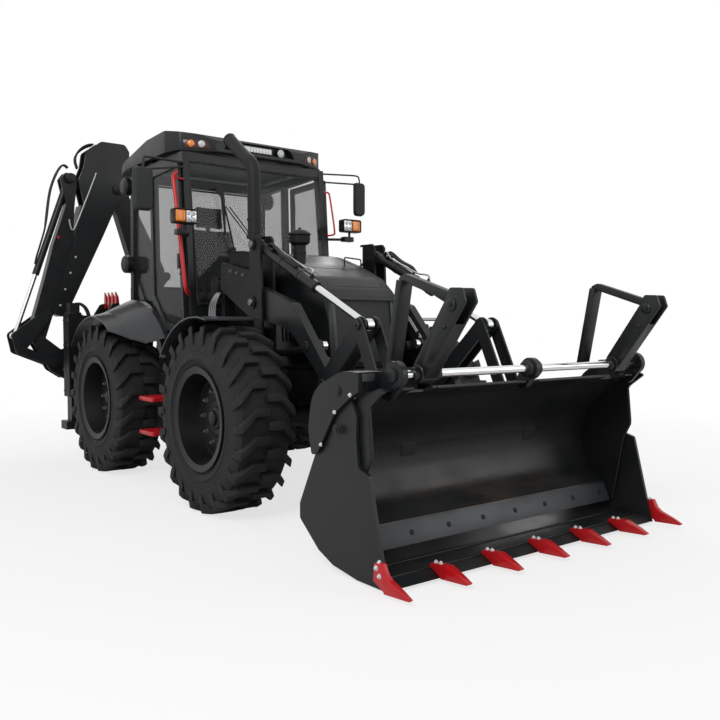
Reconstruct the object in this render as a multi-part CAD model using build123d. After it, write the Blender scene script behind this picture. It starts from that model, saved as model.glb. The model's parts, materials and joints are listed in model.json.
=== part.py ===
"""Backhoe loader with a 4-in-1 clam bucket, folding forks and a sliding-dipper backhoe."""
from build123d import *
import math
import os

# Machine axes: origin on the ground under the middle of the wheelbase,
# +X ahead, +Y to the machine's left, +Z up.  Millimetres.
ORIGIN = (428.3, -158.25, 0.0)  # the row's origin, in machine axes

# --- Driving dimensions -------------------------------------------------
WHEELBASE = 2140
AXLE_X = WHEELBASE / 2
AXLE_Z = 700
TYRE_R = 700
TYRE_W = 444
WHEEL_Y = 976
RIM_R = 355
KINGPIN_Y = 690
STEER_DEG = 25

ARM_Y = (530, 600)          # the loader arm's box, across the machine
TOWER_IN = (500, 520)       # inner tower plate
TOWER_OUT = (610, 630)      # outer tower plate
ARM_PIVOT = (930, 1570)
TILT_BASE = (940, 2022)
LEVER_PIVOT = (1880, 985)
TILT_EYE = (2306, 1393)
LINK_EYE = (2560, 850)
BUCKET_PIVOT = (2400, 440)
LIFT_BASE = (960, 1160)
LIFT_EYE = (1640, 1240)
CLAM_PIVOT = (2895, 1033)
FORK_SHAFT = (3205, 1130)
TINE_PIVOT = (3460, 1500)
FORK_Y = 877

HOE_X = -2500               # the backhoe's working plane when it is stowed
SLEW_Y = 360
BOOM_FOOT = (185, 1020)     # (y, z) in the stowed plane
DIPPER_PIVOT = (-420, 2905)
DIPPER_TAIL = (-500, 3290)
DIPPER_RAM_BASE = (170, 1960)
BOOM_RAM_BASE = (440, 1230)
BOOM_RAM_EYE = (110, 1760)
CROWD_RAM_BASE = (-940, 2983)
CROWD_EYE = (-1529, 1273)
HOE_LEVER_PIVOT = (-1215, 1507)
HOE_LINK_PIVOT = (-1499, 1126)
HOE_LINK_EYE = (-1148, 977)
HOE_BUCKET_PIVOT = (-1331, 1244)
SLIDE_DIR = (-0.258, -0.966)  # the sliding dipper's way out

# --- Shape helpers ------------------------------------------------------


def outline(points, place):
    """Closed face from corners (u, v) or (u, v, radius)."""
    spans = []
    count = len(points)
    for i, p in enumerate(points):
        radius = p[2] if len(p) > 2 else 0
        here = Vector(p[0], p[1])
        if not radius:
            spans.append((here, None, here))
            continue
        before = (Vector(*points[i - 1][:2]) - here).normalized()
        after = (Vector(*points[(i + 1) % count][:2]) - here).normalized()
        half = math.acos(max(-1.0, min(1.0, before.dot(after)))) / 2
        run = radius / math.tan(half)
        middle = here + (before + after).normalized() * (radius / math.sin(half))
        crown = middle - (before + after).normalized() * radius
        spans.append((here + before * run, crown, here + after * run))
    edges = []
    for i, (start, crown, end) in enumerate(spans):
        if crown is not None:
            a, b, c = (Vector(*place(q.X, q.Y)) for q in (start, crown, end))
            edges.append(Edge.make_three_point_arc(a, b, c))
        a = Vector(*place(end.X, end.Y))
        b = spans[(i + 1) % count][0]
        b = Vector(*place(b.X, b.Y))
        if (a - b).length > 1e-6:
            edges.append(Edge.make_line(a, b))
    return Face(Wire(edges))


def at(side, u, v, w):
    """Point from in-plane (u, v) and across w: side "y" is an XZ plane, "x" a YZ plane, "z" an XY plane."""
    return {"y": (u, w, v), "x": (w, u, v), "z": (u, v, w)}[side]


def slab(side, points, w0, w1):
    face = outline(points, lambda u, v: at(side, u, v, w0))
    return Solid.extrude(face, Vector(*at(side, 0, 0, w1 - w0)))


def disc(side, centre, radius, w0, w1):
    base = Plane(origin=at(side, *centre[:2], w0), z_dir=Vector(*at(side, 0, 0, 1)))
    return Solid.make_cylinder(radius, w1 - w0, base)


def hoop(side, centre, outer, inner, w0, w1):
    return disc(side, centre, outer, w0, w1).cut(disc(side, centre, inner, w0 - 5, w1 + 5))


def strap(side, a, b, ra, rb, w0, w1):
    """Flat bar with round ends about a and b."""
    run = (Vector(*b) - Vector(*a)).normalized()
    n = Vector(-run.Y, run.X)
    quad = [Vector(*a) + n * ra, Vector(*b) + n * rb, Vector(*b) - n * rb, Vector(*a) - n * ra]
    body = slab(side, [(q.X, q.Y) for q in quad], w0, w1)
    return body.fuse(disc(side, a, ra, w0, w1), disc(side, b, rb, w0, w1))


def sheet(side, path, t, w0, w1):
    """Bent plate: the path's corners (u, v, radius), thickened by t to its left."""
    runs = [(Vector(*q[:2]) - Vector(*p[:2])).normalized() for p, q in zip(path, path[1:])]
    left = []
    for i, p in enumerate(path):
        a, b = runs[max(i - 1, 0)], runs[min(i, len(runs) - 1)]
        na, nb = Vector(-a.Y, a.X), Vector(-b.Y, b.X)
        out = (na + nb) * (t / (1 + na.dot(nb)))
        turn = a.X * b.Y - a.Y * b.X
        radius = p[2] if len(p) > 2 else 0
        radius = radius - math.copysign(t, turn) if radius else 0
        left.append((p[0] + out.X, p[1] + out.Y, max(radius, 0)))
    return slab(side, list(path) + left[::-1], w0, w1)


def block(x0, x1, y0, y1, z0, z1):
    return slab("z", [(x0, y0), (x1, y0), (x1, y1), (x0, y1)], z0, z1)


def bar(a, b, radius):
    a, b = Vector(*a), Vector(*b)
    return Solid.make_cylinder(radius, (b - a).length, Plane(origin=a, z_dir=b - a))


def pipe(points, radius, bend):
    """Bent tube through the points, with equal bends."""
    path = FilletPolyline(*points, radius=bend)
    return sweep(Plane(origin=path @ 0, z_dir=path % 0) * Circle(radius), path=path).solid()


def lathe(side, centre, profile):
    """Turned piece: profile corners (across w, radius r), about the across axis."""
    face = outline(profile, lambda w, r: at(side, centre[0] + r, centre[1], w))
    axis = Axis(at(side, centre[0], centre[1], 0), at(side, 0, 0, 1))
    return Solid.revolve(face, 360, axis)


def mirrored(shape):
    return shape.mirror(Plane.XZ)


def twin(*shapes):
    return [s for shape in shapes for s in (shape, mirrored(shape))]


def write(node, *shapes):
    flat = []
    for shape in shapes:
        flat += shape if isinstance(shape, list) else [shape]
    body = flat[0].fuse(*flat[1:]) if len(flat) > 1 else flat[0]
    body = body.moved(Location((-ORIGIN[0], -ORIGIN[1], -ORIGIN[2])))
    export_step(body, f"parts/{node}.step")


os.makedirs("parts", exist_ok=True)

# --- Wheels ---------------------------------------------------------------
HALF = TYRE_W / 2


def tyre(x, y):
    side = [(-HALF + 31, RIM_R), (-HALF + 31, 398), (-HALF + 6, 430, 20), (-HALF, 520, 60), (-HALF + 22, 640, 40)]
    crown = [(-HALF + 60, TYRE_R - 12, 20), (0, TYRE_R, 0), (HALF - 60, TYRE_R - 12, 20)]
    far = [(-w, r, *rest) for w, r, *rest in side[::-1]]
    inner = [(HALF - 70, RIM_R), (0, RIM_R + 60, 30), (-HALF + 70, RIM_R)]
    profile = side + crown + far + inner
    ring = lathe("y", (x, AXLE_Z), profile)
    return ring.moved(Location((0, y, 0)))


def rim(x, y):
    out = math.copysign(1, y)
    prof = [(HALF - 12, RIM_R + 32), (HALF - 24, RIM_R + 32), (HALF - 30, RIM_R - 6), (-HALF + 30, RIM_R - 6),
            (-HALF + 24, RIM_R + 32), (-HALF + 12, RIM_R + 32), (-HALF + 18, RIM_R - 18), (10, RIM_R - 18),
            (10, 268), (24, 250), (24, 150), (34, 140), (34, 0.5), (54, 0.5), (54, 120), (44, 150), (44, 256),
            (34, 276), (40, RIM_R - 40), (HALF - 22, RIM_R - 18)]
    prof = [(y + out * w, r) for w, r in prof]
    return lathe("y", (x, AXLE_Z), prof)


CORNERS = {"front_right": (AXLE_X, -WHEEL_Y), "front_left": (AXLE_X, WHEEL_Y),
           "rear_right": (-AXLE_X, -WHEEL_Y), "rear_left": (-AXLE_X, WHEEL_Y)}
for name, (x, y) in CORNERS.items():
    write(f"tyre_{name}", tyre(x, y))
    write(f"rim_{name}", rim(x, y))

# --- Axles and knuckles -----------------------------------------------------
HUB_Y = WHEEL_Y + 2

beam = lathe("y", (AXLE_X, AXLE_Z), [(-560, 0.5), (-560, 80), (-220, 95), (-150, 170, 40), (150, 170, 40),
                                     (220, 95), (560, 80), (560, 0.5)])
ears = [block(AXLE_X - 70, AXLE_X + 70, 540, 600, 560, 840),
        slab("z", [(AXLE_X - 70, 540), (AXLE_X + 70, 540), (AXLE_X + 62, 740, 60), (AXLE_X - 62, 740, 60)], 560, 584),
        slab("z", [(AXLE_X - 70, 540), (AXLE_X + 70, 540), (AXLE_X + 62, 740, 60), (AXLE_X - 62, 740, 60)], 816, 838)]
ears = [s.cut(bar((AXLE_X, KINGPIN_Y, 500), (AXLE_X, KINGPIN_Y, 900), 26)) for s in ears]
pads = [block(AXLE_X - 120, AXLE_X + 120, 150, 380, 760, 840)]
ram = bar((AXLE_X - 190, -240, 700), (AXLE_X - 190, 240, 700), 38)
ram_rods = bar((AXLE_X - 190, -420, 700), (AXLE_X - 190, 420, 700), 16)
ram_feet = [block(AXLE_X - 200, AXLE_X - 60, 150, 200, 650, 750)]
write("axle_front", beam, twin(*ears), twin(*pads), ram, ram_rods, twin(*ram_feet))

rear = lathe("y", (-AXLE_X, AXLE_Z), [(-HUB_Y + 8, 0.5), (-HUB_Y + 8, 110), (-780, 140), (-740, 110), (-240, 105),
                                      (-170, 190, 40), (170, 190, 40), (240, 105), (740, 110), (780, 140),
                                      (HUB_Y - 8, 110), (HUB_Y - 8, 0.5)])
rear_pads = block(-AXLE_X - 110, -AXLE_X + 110, 300, 385, 780, 840)
write("axle_rear", rear, twin(rear_pads))


def knuckle():
    post = bar((AXLE_X, KINGPIN_Y, 590), (AXLE_X, KINGPIN_Y, 810), 62)
    drum = lathe("y", (AXLE_X, AXLE_Z), [(640, 0.5), (640, 80), (790, 80), (800, 150), (870, 150), (900, 110),
                                         (HUB_Y - 8, 110), (HUB_Y - 8, 0.5)])
    pin = bar((AXLE_X, KINGPIN_Y, 545), (AXLE_X, KINGPIN_Y, 846), 25)
    cap = block(AXLE_X - 50, AXLE_X + 50, 650, 742, 844, 862)
    lug = slab("z", [(AXLE_X - 185, 640), (AXLE_X - 20, 650), (AXLE_X - 20, 720), (AXLE_X - 150, 690)], 620, 645)
    return post.fuse(drum, lug, pin, cap)


def front_fender():
    a0, a1 = math.radians(76), math.radians(142)
    c = (AXLE_X, AXLE_Z)

    def on(r, a):
        return (c[0] + r * math.cos(a), c[1] + r * math.sin(a))
    steps = [a0 + (a1 - a0) * i / 6 for i in range(7)]
    arc = [(*on(748, a), 140) if 0 < i < 6 else on(748, a) for i, a in enumerate(steps)]
    skin = sheet("y", arc, -10, 722, 1205)
    corner = slab("z", [(1010, 700), (1010, 735), (880, 775), (400, 775), (400, 700)], 1000, 1600)
    stay = block(AXLE_X - 50, AXLE_X + 50, 722, 742, 850, 1452)
    return skin.cut(corner).fuse(stay)


for name, side in (("left", 1), ("right", -1)):
    parts = (knuckle(), front_fender())
    if side < 0:
        parts = tuple(mirrored(p) for p in parts)
    write(f"knuckle_{name}", *parts)

# --- Chassis ------------------------------------------------------------------
rails = slab("y", [(-2050, 840), (1560, 840), (1700, 900), (1700, 1040), (-2050, 1060)], 300, 385)
cross = [block(x, x + 90, -300, 300, 860, 1040) for x in (-1950, -700, 250, 1500)]
nose = slab("y", [(1560, 640), (1770, 700, 30), (1770, 1060, 30), (1560, 1060)], -360, 360)
tower_face = [(860, 880), (1075, 880), (1072, 1500), (1062, 1720), (1045, 2060, 18), (1015, 2090, 18), (905, 2090, 18),
              (888, 2060, 18), (888, 1820), (420, 1915, 20), (400, 1690, 20), (885, 1455), (868, 1300)]
towers = [slab("y", tower_face, *TOWER_OUT), slab("y", tower_face, *TOWER_IN)]
towers += [block(870, 892, 520, 610, 880, 1380), block(402, 424, 520, 610, 1700, 1900)]
towers += [block(870, 1060, 385, 500, 880, 960), block(360, 420, 500, 600, 1060, 1760), block(360, 420, 300, 520, 1000, 1062)]
towers += [block(850, 912, 505, 632, 2074, 2092)]
towers += [disc("y", LIFT_BASE, 55, 489, 500), disc("y", TILT_BASE, 46, 630, 642), disc("y", ARM_PIVOT, 52, 630, 642)]
TOW_X, TOW_R = 1820, 17
tow = slab("z", [(1760, -70), (1810, -70), (1865, -45, 30), (1865, 45, 30), (1810, 70), (1760, 70)], 700, 740)
tow = tow.cut(bar((TOW_X, 0, 680), (TOW_X, 0, 760), TOW_R))
tank = slab("y", [(-340, 420, 20), (190, 420, 20), (190, 960, 20), (-340, 960, 20)], 385, 880)
foot_rails = [block(-180, 70, 870, 900, 440, 800)]
REAR_X = -2165
frame_cols = [block(REAR_X, -2050, 960, 1120, 560, 640), block(REAR_X, -2050, 960, 1120, 1500, 1580)]
rear_frame = [block(REAR_X, -2050, -960, 960, 560, 650), block(REAR_X, -2050, -960, 960, 1400, 1490)]
rear_posts = [block(REAR_X, -2050, 300, 385, 560, 1490)]
guide = block(REAR_X, -1985, 975, 1125, 640, 1500).cut(block(-2146, -2004, 994, 1106, 600, 1600))
guides = [guide, block(REAR_X, -2050, 940, 980, 560, 1490)]
write("chassis_frame", twin(rails), cross, nose, tow, twin(*towers), rear_frame, twin(*rear_posts), twin(*guides), twin(tank),
      twin(*foot_rails))

pads = [slab("z", [(-190, 900), (60, 900), (90, 1110, 20), (-200, 1110, 20)], z, z + 35) for z in (455, 745)]
grab = pipe([(20, 750, 2750), (20, 850, 2750), (110, 850, 1980), (100, 750, 1960)], 15, 40)
write("steps_rails", twin(*pads), twin(grab))

engine = slab("y", [(420, 900), (1450, 900), (1450, 1420, 40), (420, 1560, 40)], -270, 270)
write("engine_block", engine)

# --- Bodywork -----------------------------------------------------------------
side_line = [(160, 1070), (1680, 1070), (1700, 1180), (1610, 1590, 60), (1500, 1690, 200), (160, 1975)]
hood_out = slab("y", side_line, -412, 412)
inner_line = [(150, 1060), (1560, 1060), (1560, 1570), (1480, 1660), (150, 1955)]
hood = hood_out.cut(slab("y", inner_line, -398, 398))
front_hole = slab("y", [(1540, 1110), (1720, 1110), (1700, 1560), (1540, 1560)], -360, 360)
write("hood", hood.cut(front_hole))
mesh = slab("y", [(1640, 1112), (1662, 1112), (1590, 1558), (1568, 1558)], -358, 358)
write("grille", mesh)

cleaner = [bar((1010, -250, 1700), (1010, -250, 1930), 45).cut(hood_out),
           bar((1010, -250, 1930), (1010, -250, 2080), 88), bar((1010, -250, 2080), (1010, -250, 2105), 60),
           bar((1010, -250, 2105), (1010, -250, 2135), 105)]

stack = [bar((872, -572, 2092), (872, -572, 2118), 54)]
stack += [pipe([(870, -572, 2105), (858, -572, 2398), (812, -572, 2670), (475, -572, 2925)], 55, 170)]
write("stacks", *cleaner, *stack)


def rear_fender():
    prof = [(764, 926), (800, 922), (1060, 800), (1205, 765), (1205, 774), (1062, 810), (802, 932), (764, 936)]
    face = outline(prof, lambda w, r: (-AXLE_X + r, w, AXLE_Z))
    shell = Solid.revolve(face, 104, Axis((-AXLE_X, 0, AXLE_Z), (0, -1, 0)))
    shell = shell.rotate(Axis((-AXLE_X, 0, AXLE_Z), (0, -1, 0)), 38)
    cut = slab("z", [(-800, 1400), (-640, 1206), (-380, 930), (-100, 930), (-100, 1400)], 900, 1900)
    return shell.cut(cut)


rf = rear_fender()
brackets = block(-1500, -640, 749, 766, 1395, 1470)
write("rear_fenders", twin(rf), twin(brackets))

# --- Cab -----------------------------------------------------------------------
PILLAR = (690, 748)


def lean(x0, z0, x1, z1, w):
    return slab("y", [(x0 - w, z0), (x0, z0), (x1, z1), (x1 - w, z1)], *PILLAR)


a_post = lean(140, 1070, -60, 2900, 85)
b_post = lean(-650, 1420, -690, 2900, 60)
c_post = lean(-1180, 1420, -1150, 2900, 70)
sill = slab("y", [(140, 1060), (128, 1290), (-330, 1290), (-640, 1560), (-1250, 1560), (-1250, 1420), (-700, 1420),
                  (-420, 1060)], *PILLAR)
head = slab("y", [(-60, 2900), (-60, 2840), (-1215, 2780), (-1215, 2880)], *PILLAR)
floor = slab("y", [(140, 1062), (140, 1100), (-430, 1100), (-720, 1440), (-1250, 1440), (-1250, 1400), (-735, 1400),
                   (-450, 1062)], -690, 690)
rear_wall = slab("x", [(-748, 1420), (748, 1420), (748, 1760), (-748, 1760)], -1250, -1225)
rear_head = slab("x", [(-748, 2790), (748, 2790), (748, 2880), (-748, 2880)], -1215, -1160)
scuttle = slab("y", [(140, 1062), (118, 1062), (60, 1560), (95, 1560)], -690, 690)
front_head = block(-130, -60, -690, 690, 2830, 2900)
CAB = [*twin(a_post, b_post, c_post, sill, head), floor, rear_wall, rear_head, scuttle, front_head]
write("cab_frame", CAB)


def clear_of(shape, others):
    return shape.cut(*others)



roof_line = [(-75, 2905), (-40, 2960, 20), (-90, 3060, 50), (-300, 3115, 250), (-700, 3095), (-1240, 2975, 120),
             (-1380, 2880, 30), (-1340, 2850), (-1200, 2885)]
roof = slab("y", roof_line, -800, 800)
roof = clear_of(roof, CAB)
write("cab_roof", roof)

screen = slab("y", [(112, 1565), (100, 1565), (-72, 2826), (-60, 2826)], -686, 686)
back = slab("x", [(-686, 1765), (686, 1765), (686, 2786), (-686, 2786)], -1236, -1228)
quarter = slab("y", [(-712, 1565), (-1172, 1565), (-1146, 2770), (-756, 2790)], 716, 724)
write("cab_glass", *[clear_of(s, CAB) for s in (screen, back, *twin(quarter))])

DOOR_HINGE = (-665, 775)


def door():
    ring_out = [(-635, 1640, 30), (-350, 1350, 40), (40, 1310, 30), (-70, 2820, 30), (-670, 2800, 20)]
    ring_in = [(-590, 1665, 30), (-335, 1400, 40), (-5, 1362, 30), (-115, 2770, 30), (-625, 2750, 20)]
    leaf = slab("y", ring_out, 754, 786).cut(slab("y", ring_in, 740, 800))
    hinge = [bar((*DOOR_HINGE, z), (*DOOR_HINGE, z + 90), 11) for z in (1850, 2550)]
    hinge += [block(-672, -610, 764, 786, z, z + 90) for z in (1850, 2550)]
    handle = block(-44, -14, 786, 812, 1880, 2010)
    return leaf.fuse(*hinge, handle)


def door_glass():
    pane = [(-588, 1667, 30), (-334, 1402, 40), (-7, 1364, 30), (-117, 2768, 30), (-623, 2748, 20)]
    return slab("y", pane, 766, 774)


for name, side in (("left", 1), ("right", -1)):
    frame_part, pane = door(), door_glass()
    pane = pane.cut(frame_part)
    if side < 0:
        frame_part, pane = mirrored(frame_part), mirrored(pane)
    write(f"door_{name}", frame_part)
    write(f"door_glass_{name}", pane)

seat = [block(-980, -480, -250, 250, 1560, 1680), slab("y", [(-980, 1640), (-880, 1640), (-960, 2280), (-1060, 2280)], -240, 240)]
seat += [block(-900, -560, -150, 150, 1440, 1560), slab("y", [(-980, 2270), (-930, 2270), (-960, 2420), (-1010, 2420)], -110, 110)]
column = [bar((30, 0, 1104), (-180, 0, 1900), 55), block(-60, 60, -260, 260, 1104, 1500)]
wheel = lathe("z", (0, 0), [(-12, 165), (12, 165), (12, 190), (-12, 190)])
wheel = wheel.rotate(Axis.Y, -20).moved(Location((-190, 0, 1935)))
spoke = block(-178, 178, -16, 16, -10, 10).rotate(Axis.Y, -20).moved(Location((-190, 0, 1935)))
write("cab_interior", *[clear_of(s, CAB) for s in (*seat, *column, wheel, spoke)])

lamps = [bar((-50, 532, 3011), (-30, 532, 3011), 45), bar((-50, 671, 3004), (-30, 671, 3004), 45)]
lamps = [clear_of(s, [roof]) for s in twin(*lamps)]
units = [block(150, 240, 815, 935, 2215, 2335), block(150, 220, 800, 900, 2150, 2200)]
units += [bar((190, 860, 2180), (190, 860, 2240), 14), bar((60, 745, 2175), (190, 830, 2175), 16)]
write("lamps", lamps, *[clear_of(s, CAB) for s in twin(*units)])
mirror_r = [slab("x", [(-1240, 2358, 30), (-1060, 2358, 30), (-1060, 2668, 30), (-1240, 2668, 30)], 20, 90)]
arms_r = [bar((40, -1150, 2640), (-40, -745, 2700), 12), bar((40, -1150, 2560), (-20, -745, 2560), 12)]
mirror_l = [s.mirror(Plane.XZ) for s in mirror_r + arms_r]
write("mirrors", *[clear_of(s, CAB) for s in (*mirror_r, *arms_r, *mirror_l)])

# --- Loader arms --------------------------------------------------------------
arm_top = [(905, 1642, 40), (970, 1700, 40), (1461, 1553, 60), (2412, 500)]
arm_low = [(2335, 400), (1743, 1079), (1459, 1325, 60), (1300, 1385, 80), (960, 1445, 40), (862, 1530, 60)]
arm = slab("y", arm_top + arm_low, *ARM_Y).fuse(disc("y", BUCKET_PIVOT, 76, *ARM_Y))
boss = [disc("y", LIFT_EYE, 52, 482, 531)]
tie = bar((2010, -531, 830), (2010, 531, 830), 62)
write("loader_arms", twin(arm, *boss), tie)

lever = [strap("y", LEVER_PIVOT, TILT_EYE, 62, 58, 505, 520), strap("y", LEVER_PIVOT, TILT_EYE, 62, 58, 611, 626)]
write("tip_levers", twin(*lever))
link = [strap("y", TILT_EYE, LINK_EYE, 48, 50, 482, 498), strap("y", TILT_EYE, LINK_EYE, 48, 50, 633, 649)]
write("tip_links", twin(*link))


def way(a, b, k):
    return (a[0] + (b[0] - a[0]) * k, a[1] + (b[1] - a[1]) * k)


def apart(a, b):
    return math.hypot(b[0] - a[0], b[1] - a[1])


def cylinder(side, base, eye, mid, half, barrel_len, r_barrel, r_rod, r_eye, rod_len, start):
    """Ram in the plane w = mid: barrel solids and rod solids."""
    k = barrel_len / apart(base, eye)
    s = start / apart(base, eye)
    far = way(base, eye, k)
    near = way(base, eye, s)
    tail = way(base, eye, 1 - rod_len / apart(base, eye))
    a, b = at(side, *near, mid), at(side, *far, mid)
    skin = bar(a, b, r_barrel).cut(bar(at(side, *way(base, eye, s + 0.02), mid), b, r_rod + 1.0))
    eye_b = disc(side, base, r_eye, mid - half, mid + half)
    neck = bar(at(side, *base, mid), a, min(half, r_barrel * 0.8))
    rod_body = bar(at(side, *tail, mid), at(side, *eye, mid), r_rod)
    eye_r = disc(side, eye, r_eye, mid - half, mid + half)
    return skin.fuse(eye_b, neck), rod_body.fuse(eye_r)


TILT_MID = 565
TILT_BARREL, TILT_ROD = 864, 800
barrel, piston = cylinder("y", TILT_BASE, TILT_EYE, TILT_MID, 25, TILT_BARREL, 40, 25, 44, TILT_ROD, 70)
write("tilt_barrels", twin(barrel))
write("tilt_rods", twin(piston))
barrel, piston = cylinder("y", LIFT_BASE, LIFT_EYE, 455, 19, 620, 29, 17, 40, 600, 60)
write("lift_barrels", twin(barrel))
write("lift_rods", twin(piston))

# --- Clam bucket ----------------------------------------------------------------
BUCKET_W = 1168
wall = [(3195, 1045), (3000, 985, 120), (2760, 760, 300), (2690, 560, 250), (2760, 370, 200), (2905, 250), (2962, 118)]
mould = sheet("y", wall, -16, -BUCKET_W, BUCKET_W)
end_in = [(3228, 1045, 10), (3097, 947, 60), (3119, 693, 60), (3066, 591, 20), (2975, 118)]
end_back = [(2950, 112), (2892, 240), (2746, 358, 200), (2672, 560, 250), (2744, 770, 300), (2990, 1000, 100), (3190, 1062)]
ends = [slab("y", end_in + end_back, 1168, 1188)]
cheek = [(2641, 646, 20), (2700, 670), (2865, 910), (3000, 1000), (3079, 1040), (3079, 1138), (2923, 1143, 160),
         (2650, 1030, 200), (2605, 800, 200)]
ends += [slab("y", cheek, 1222, 1240), block(2930, 3079, 1060, 1240, 1120, 1140), block(3061, 3079, 1060, 1189, 1040, 1140), block(3061, 3079, 1223, 1240, 1040, 1140)]
ends += [disc("y", CLAM_PIVOT, 25, 1168, 1240)]
ends += [slab("y", [(2930, 1140), (3079, 1140), (3079, 1040), (3000, 1000), (2930, 960)], 1060, 1078)]
ears = [strap("y", BUCKET_PIVOT, (2500, 520), 70, 60, w, w + 16) for w in (507, 607)]
ears += [slab("y", [(2420, 510), (2660, 440), (2700, 720), (2560, 640)], w, w + 16) for w in (507, 607)]
ears += [disc("y", LINK_EYE, 52, 545, 585), slab("y", [(2520, 812), (2680, 640), (2760, 790), (2600, 892)], 545, 585)]
ears += [slab("y", [(2600, 560), (2690, 520), (2760, 790), (2660, 760)], 507, 623)]
top_ears = [strap("y", FORK_SHAFT, (3150, 1060), 74, 70, 1072, 1096)]
mid_ear = [strap("y", FORK_SHAFT, (3150, 1050), 50, 45, -22, 22)]
strip = [sheet("y", [(2905, 250), (2962, 118)], 22, -1150, 1150)]
mould = mould.cut(*twin(disc("y", FORK_SHAFT, 130, FORK_Y - 70, FORK_Y + 70)))
shaft = bar((FORK_SHAFT[0], -1120, FORK_SHAFT[1]), (FORK_SHAFT[0], 1120, FORK_SHAFT[1]), 24)
seats = [s.cut(shaft) for s in (*twin(*top_ears), *mid_ear)]
write("bucket_shell", mould, twin(*ends), twin(*ears), seats, *strip)

bowl = [(2692, 108), (2820, 58, 120), (3060, 38)]
clam_skin = sheet("y", bowl, 14, -1197, 1197)
lip = slab("y", [(3020, 16), (3285, 14), (3300, 22), (3230, 52), (3020, 56)], -1197, 1197)
clam_side = [(2482, 340, 20), (2482, 250, 20), (2675, 100, 30), (2817, 44, 40), (3040, 14), (3289, 14), (3252, 159), (3140, 598, 20),
             (3048, 624, 30), (3031, 784, 60), (3034, 905, 40), (2960, 1040), (2830, 1040), (2700, 740, 60), (2641, 646, 40)]
side_plates = slab("y", clam_side, 1195, 1216).fuse(disc("y", CLAM_PIVOT, 78, 1195, 1216))
side_plates = side_plates.cut(disc("y", CLAM_PIVOT, 26, 1190, 1220))
write("bucket_clam", clam_skin, lip, twin(side_plates))

TEETH_Y = (-820, -410, 0, 410, 820)


def tooth(y, w=70):
    line = [(3080, 58), (3090, 88, 8), (3240, 84), (3330, 92, 20), (3430, 60), (3503, 30), (3490, 22), (3400, 20),
            (3303, 15), (3303, 24), (3232, 56)]
    return slab("y", line, y - w / 2, y + w / 2)


teeth = [tooth(y) for y in TEETH_Y] + [tooth(-1239.5, 46), tooth(1239.5, 46)]
write("bucket_teeth", *[clear_of(s, [lip]) for s in teeth])

# --- Folding forks ---------------------------------------------------------------
write("fork_shaft", shaft)
fork = [hoop("y", FORK_SHAFT, 52, 25.5, FORK_Y - 62, FORK_Y + 62)]
arm_line = [(3165, 1160), (3240, 1105), (3560, 1512, 20), (3530, 1575, 20), (3430, 1560, 20)]
fork_box = slab("y", arm_line, FORK_Y - 50, FORK_Y + 50)
cut = slab("y", [(3400, 1400), (3640, 1400), (3640, 1700), (3300, 1700)], FORK_Y - 32, FORK_Y + 32)
bore = disc("y", FORK_SHAFT, 25.5, FORK_Y - 80, FORK_Y + 80)
fork_all = fork_box.fuse(*fork).cut(cut).cut(bore)
write("fork_arms", twin(fork_all, disc("y", TINE_PIVOT, 14, FORK_Y - 50, FORK_Y + 50)))
tine_line = [(3462, 1455, 20), (3500, 1500, 20), (3470, 1542, 20), (3070, 1672, 30), (3020, 1650, 30), (2895, 1110), (2960, 1100),
             (3078, 1585, 20)]
tine = slab("y", tine_line, FORK_Y - 26, FORK_Y + 26).cut(disc("y", TINE_PIVOT, 14.5, FORK_Y - 40, FORK_Y + 40))
write("fork_tines", twin(tine))

# --- Stabilizers -------------------------------------------------------------------
leg = [block(-2140, -2010, 1000, 1100, 380, 1620), slab("z", [(-2165, 940), (-1985, 940), (-1985, 1160), (-2165, 1160)], 300, 385)]
for name, side in (("left", 1), ("right", -1)):
    parts = leg if side > 0 else [mirrored(s) for s in leg]
    write(f"stabilizer_leg_{name}", *parts)

# --- Backhoe -------------------------------------------------------------------------
cy = SLEW_Y
plate = block(-2205, -2171, cy - 260, cy + 260, 540, 1510)
lug_line = [(-2205, cy - 90), (-2205, cy + 90), (-2590, cy + 90, 85), (-2590, cy - 90, 85)]
lugs = [slab("z", lug_line, z, z + 50) for z in (640, 1060)]
ribs = [slab("y", [(-2205, 1110), (-2310, 1110), (-2205, 1400)], y, y + 20) for y in (cy - 150, cy + 130)]
write("hoe_carriage", plate, *lugs, *ribs)

PLATES = (HOE_X - 152, HOE_X + 126)
post = [bar((HOE_X, cy, 696), (HOE_X, cy, 1054), 78), block(HOE_X - 152, HOE_X + 152, cy - 118, cy - 60, 720, 900)]
cheek = [(BOOM_FOOT[0] + 62, 720, 30), (BOOM_FOOT[0] + 62, 1180), (BOOM_FOOT[0] - 60, 1180, 60), (BOOM_FOOT[0] - 85, 950, 60)]
post += [slab("x", cheek, w, w + 26) for w in PLATES]
post += [slab("x", [(160, 1118), (500, 1118), (480, 1270, 40), (400, 1270, 40), (300, 1180), (160, 1180)], w, w + 26) for w in (HOE_X - 152, HOE_X + 126)]
post += [block(HOE_X - 152, HOE_X + 152, 320, 490, 1118, 1150)]
post += [slab("x", [(390, 1140), (490, 1140), (475, 1265, 30), (405, 1265, 30)], w, w + 92) for w in (HOE_X - 126, HOE_X + 34)]
write("kingpost", *post)

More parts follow.
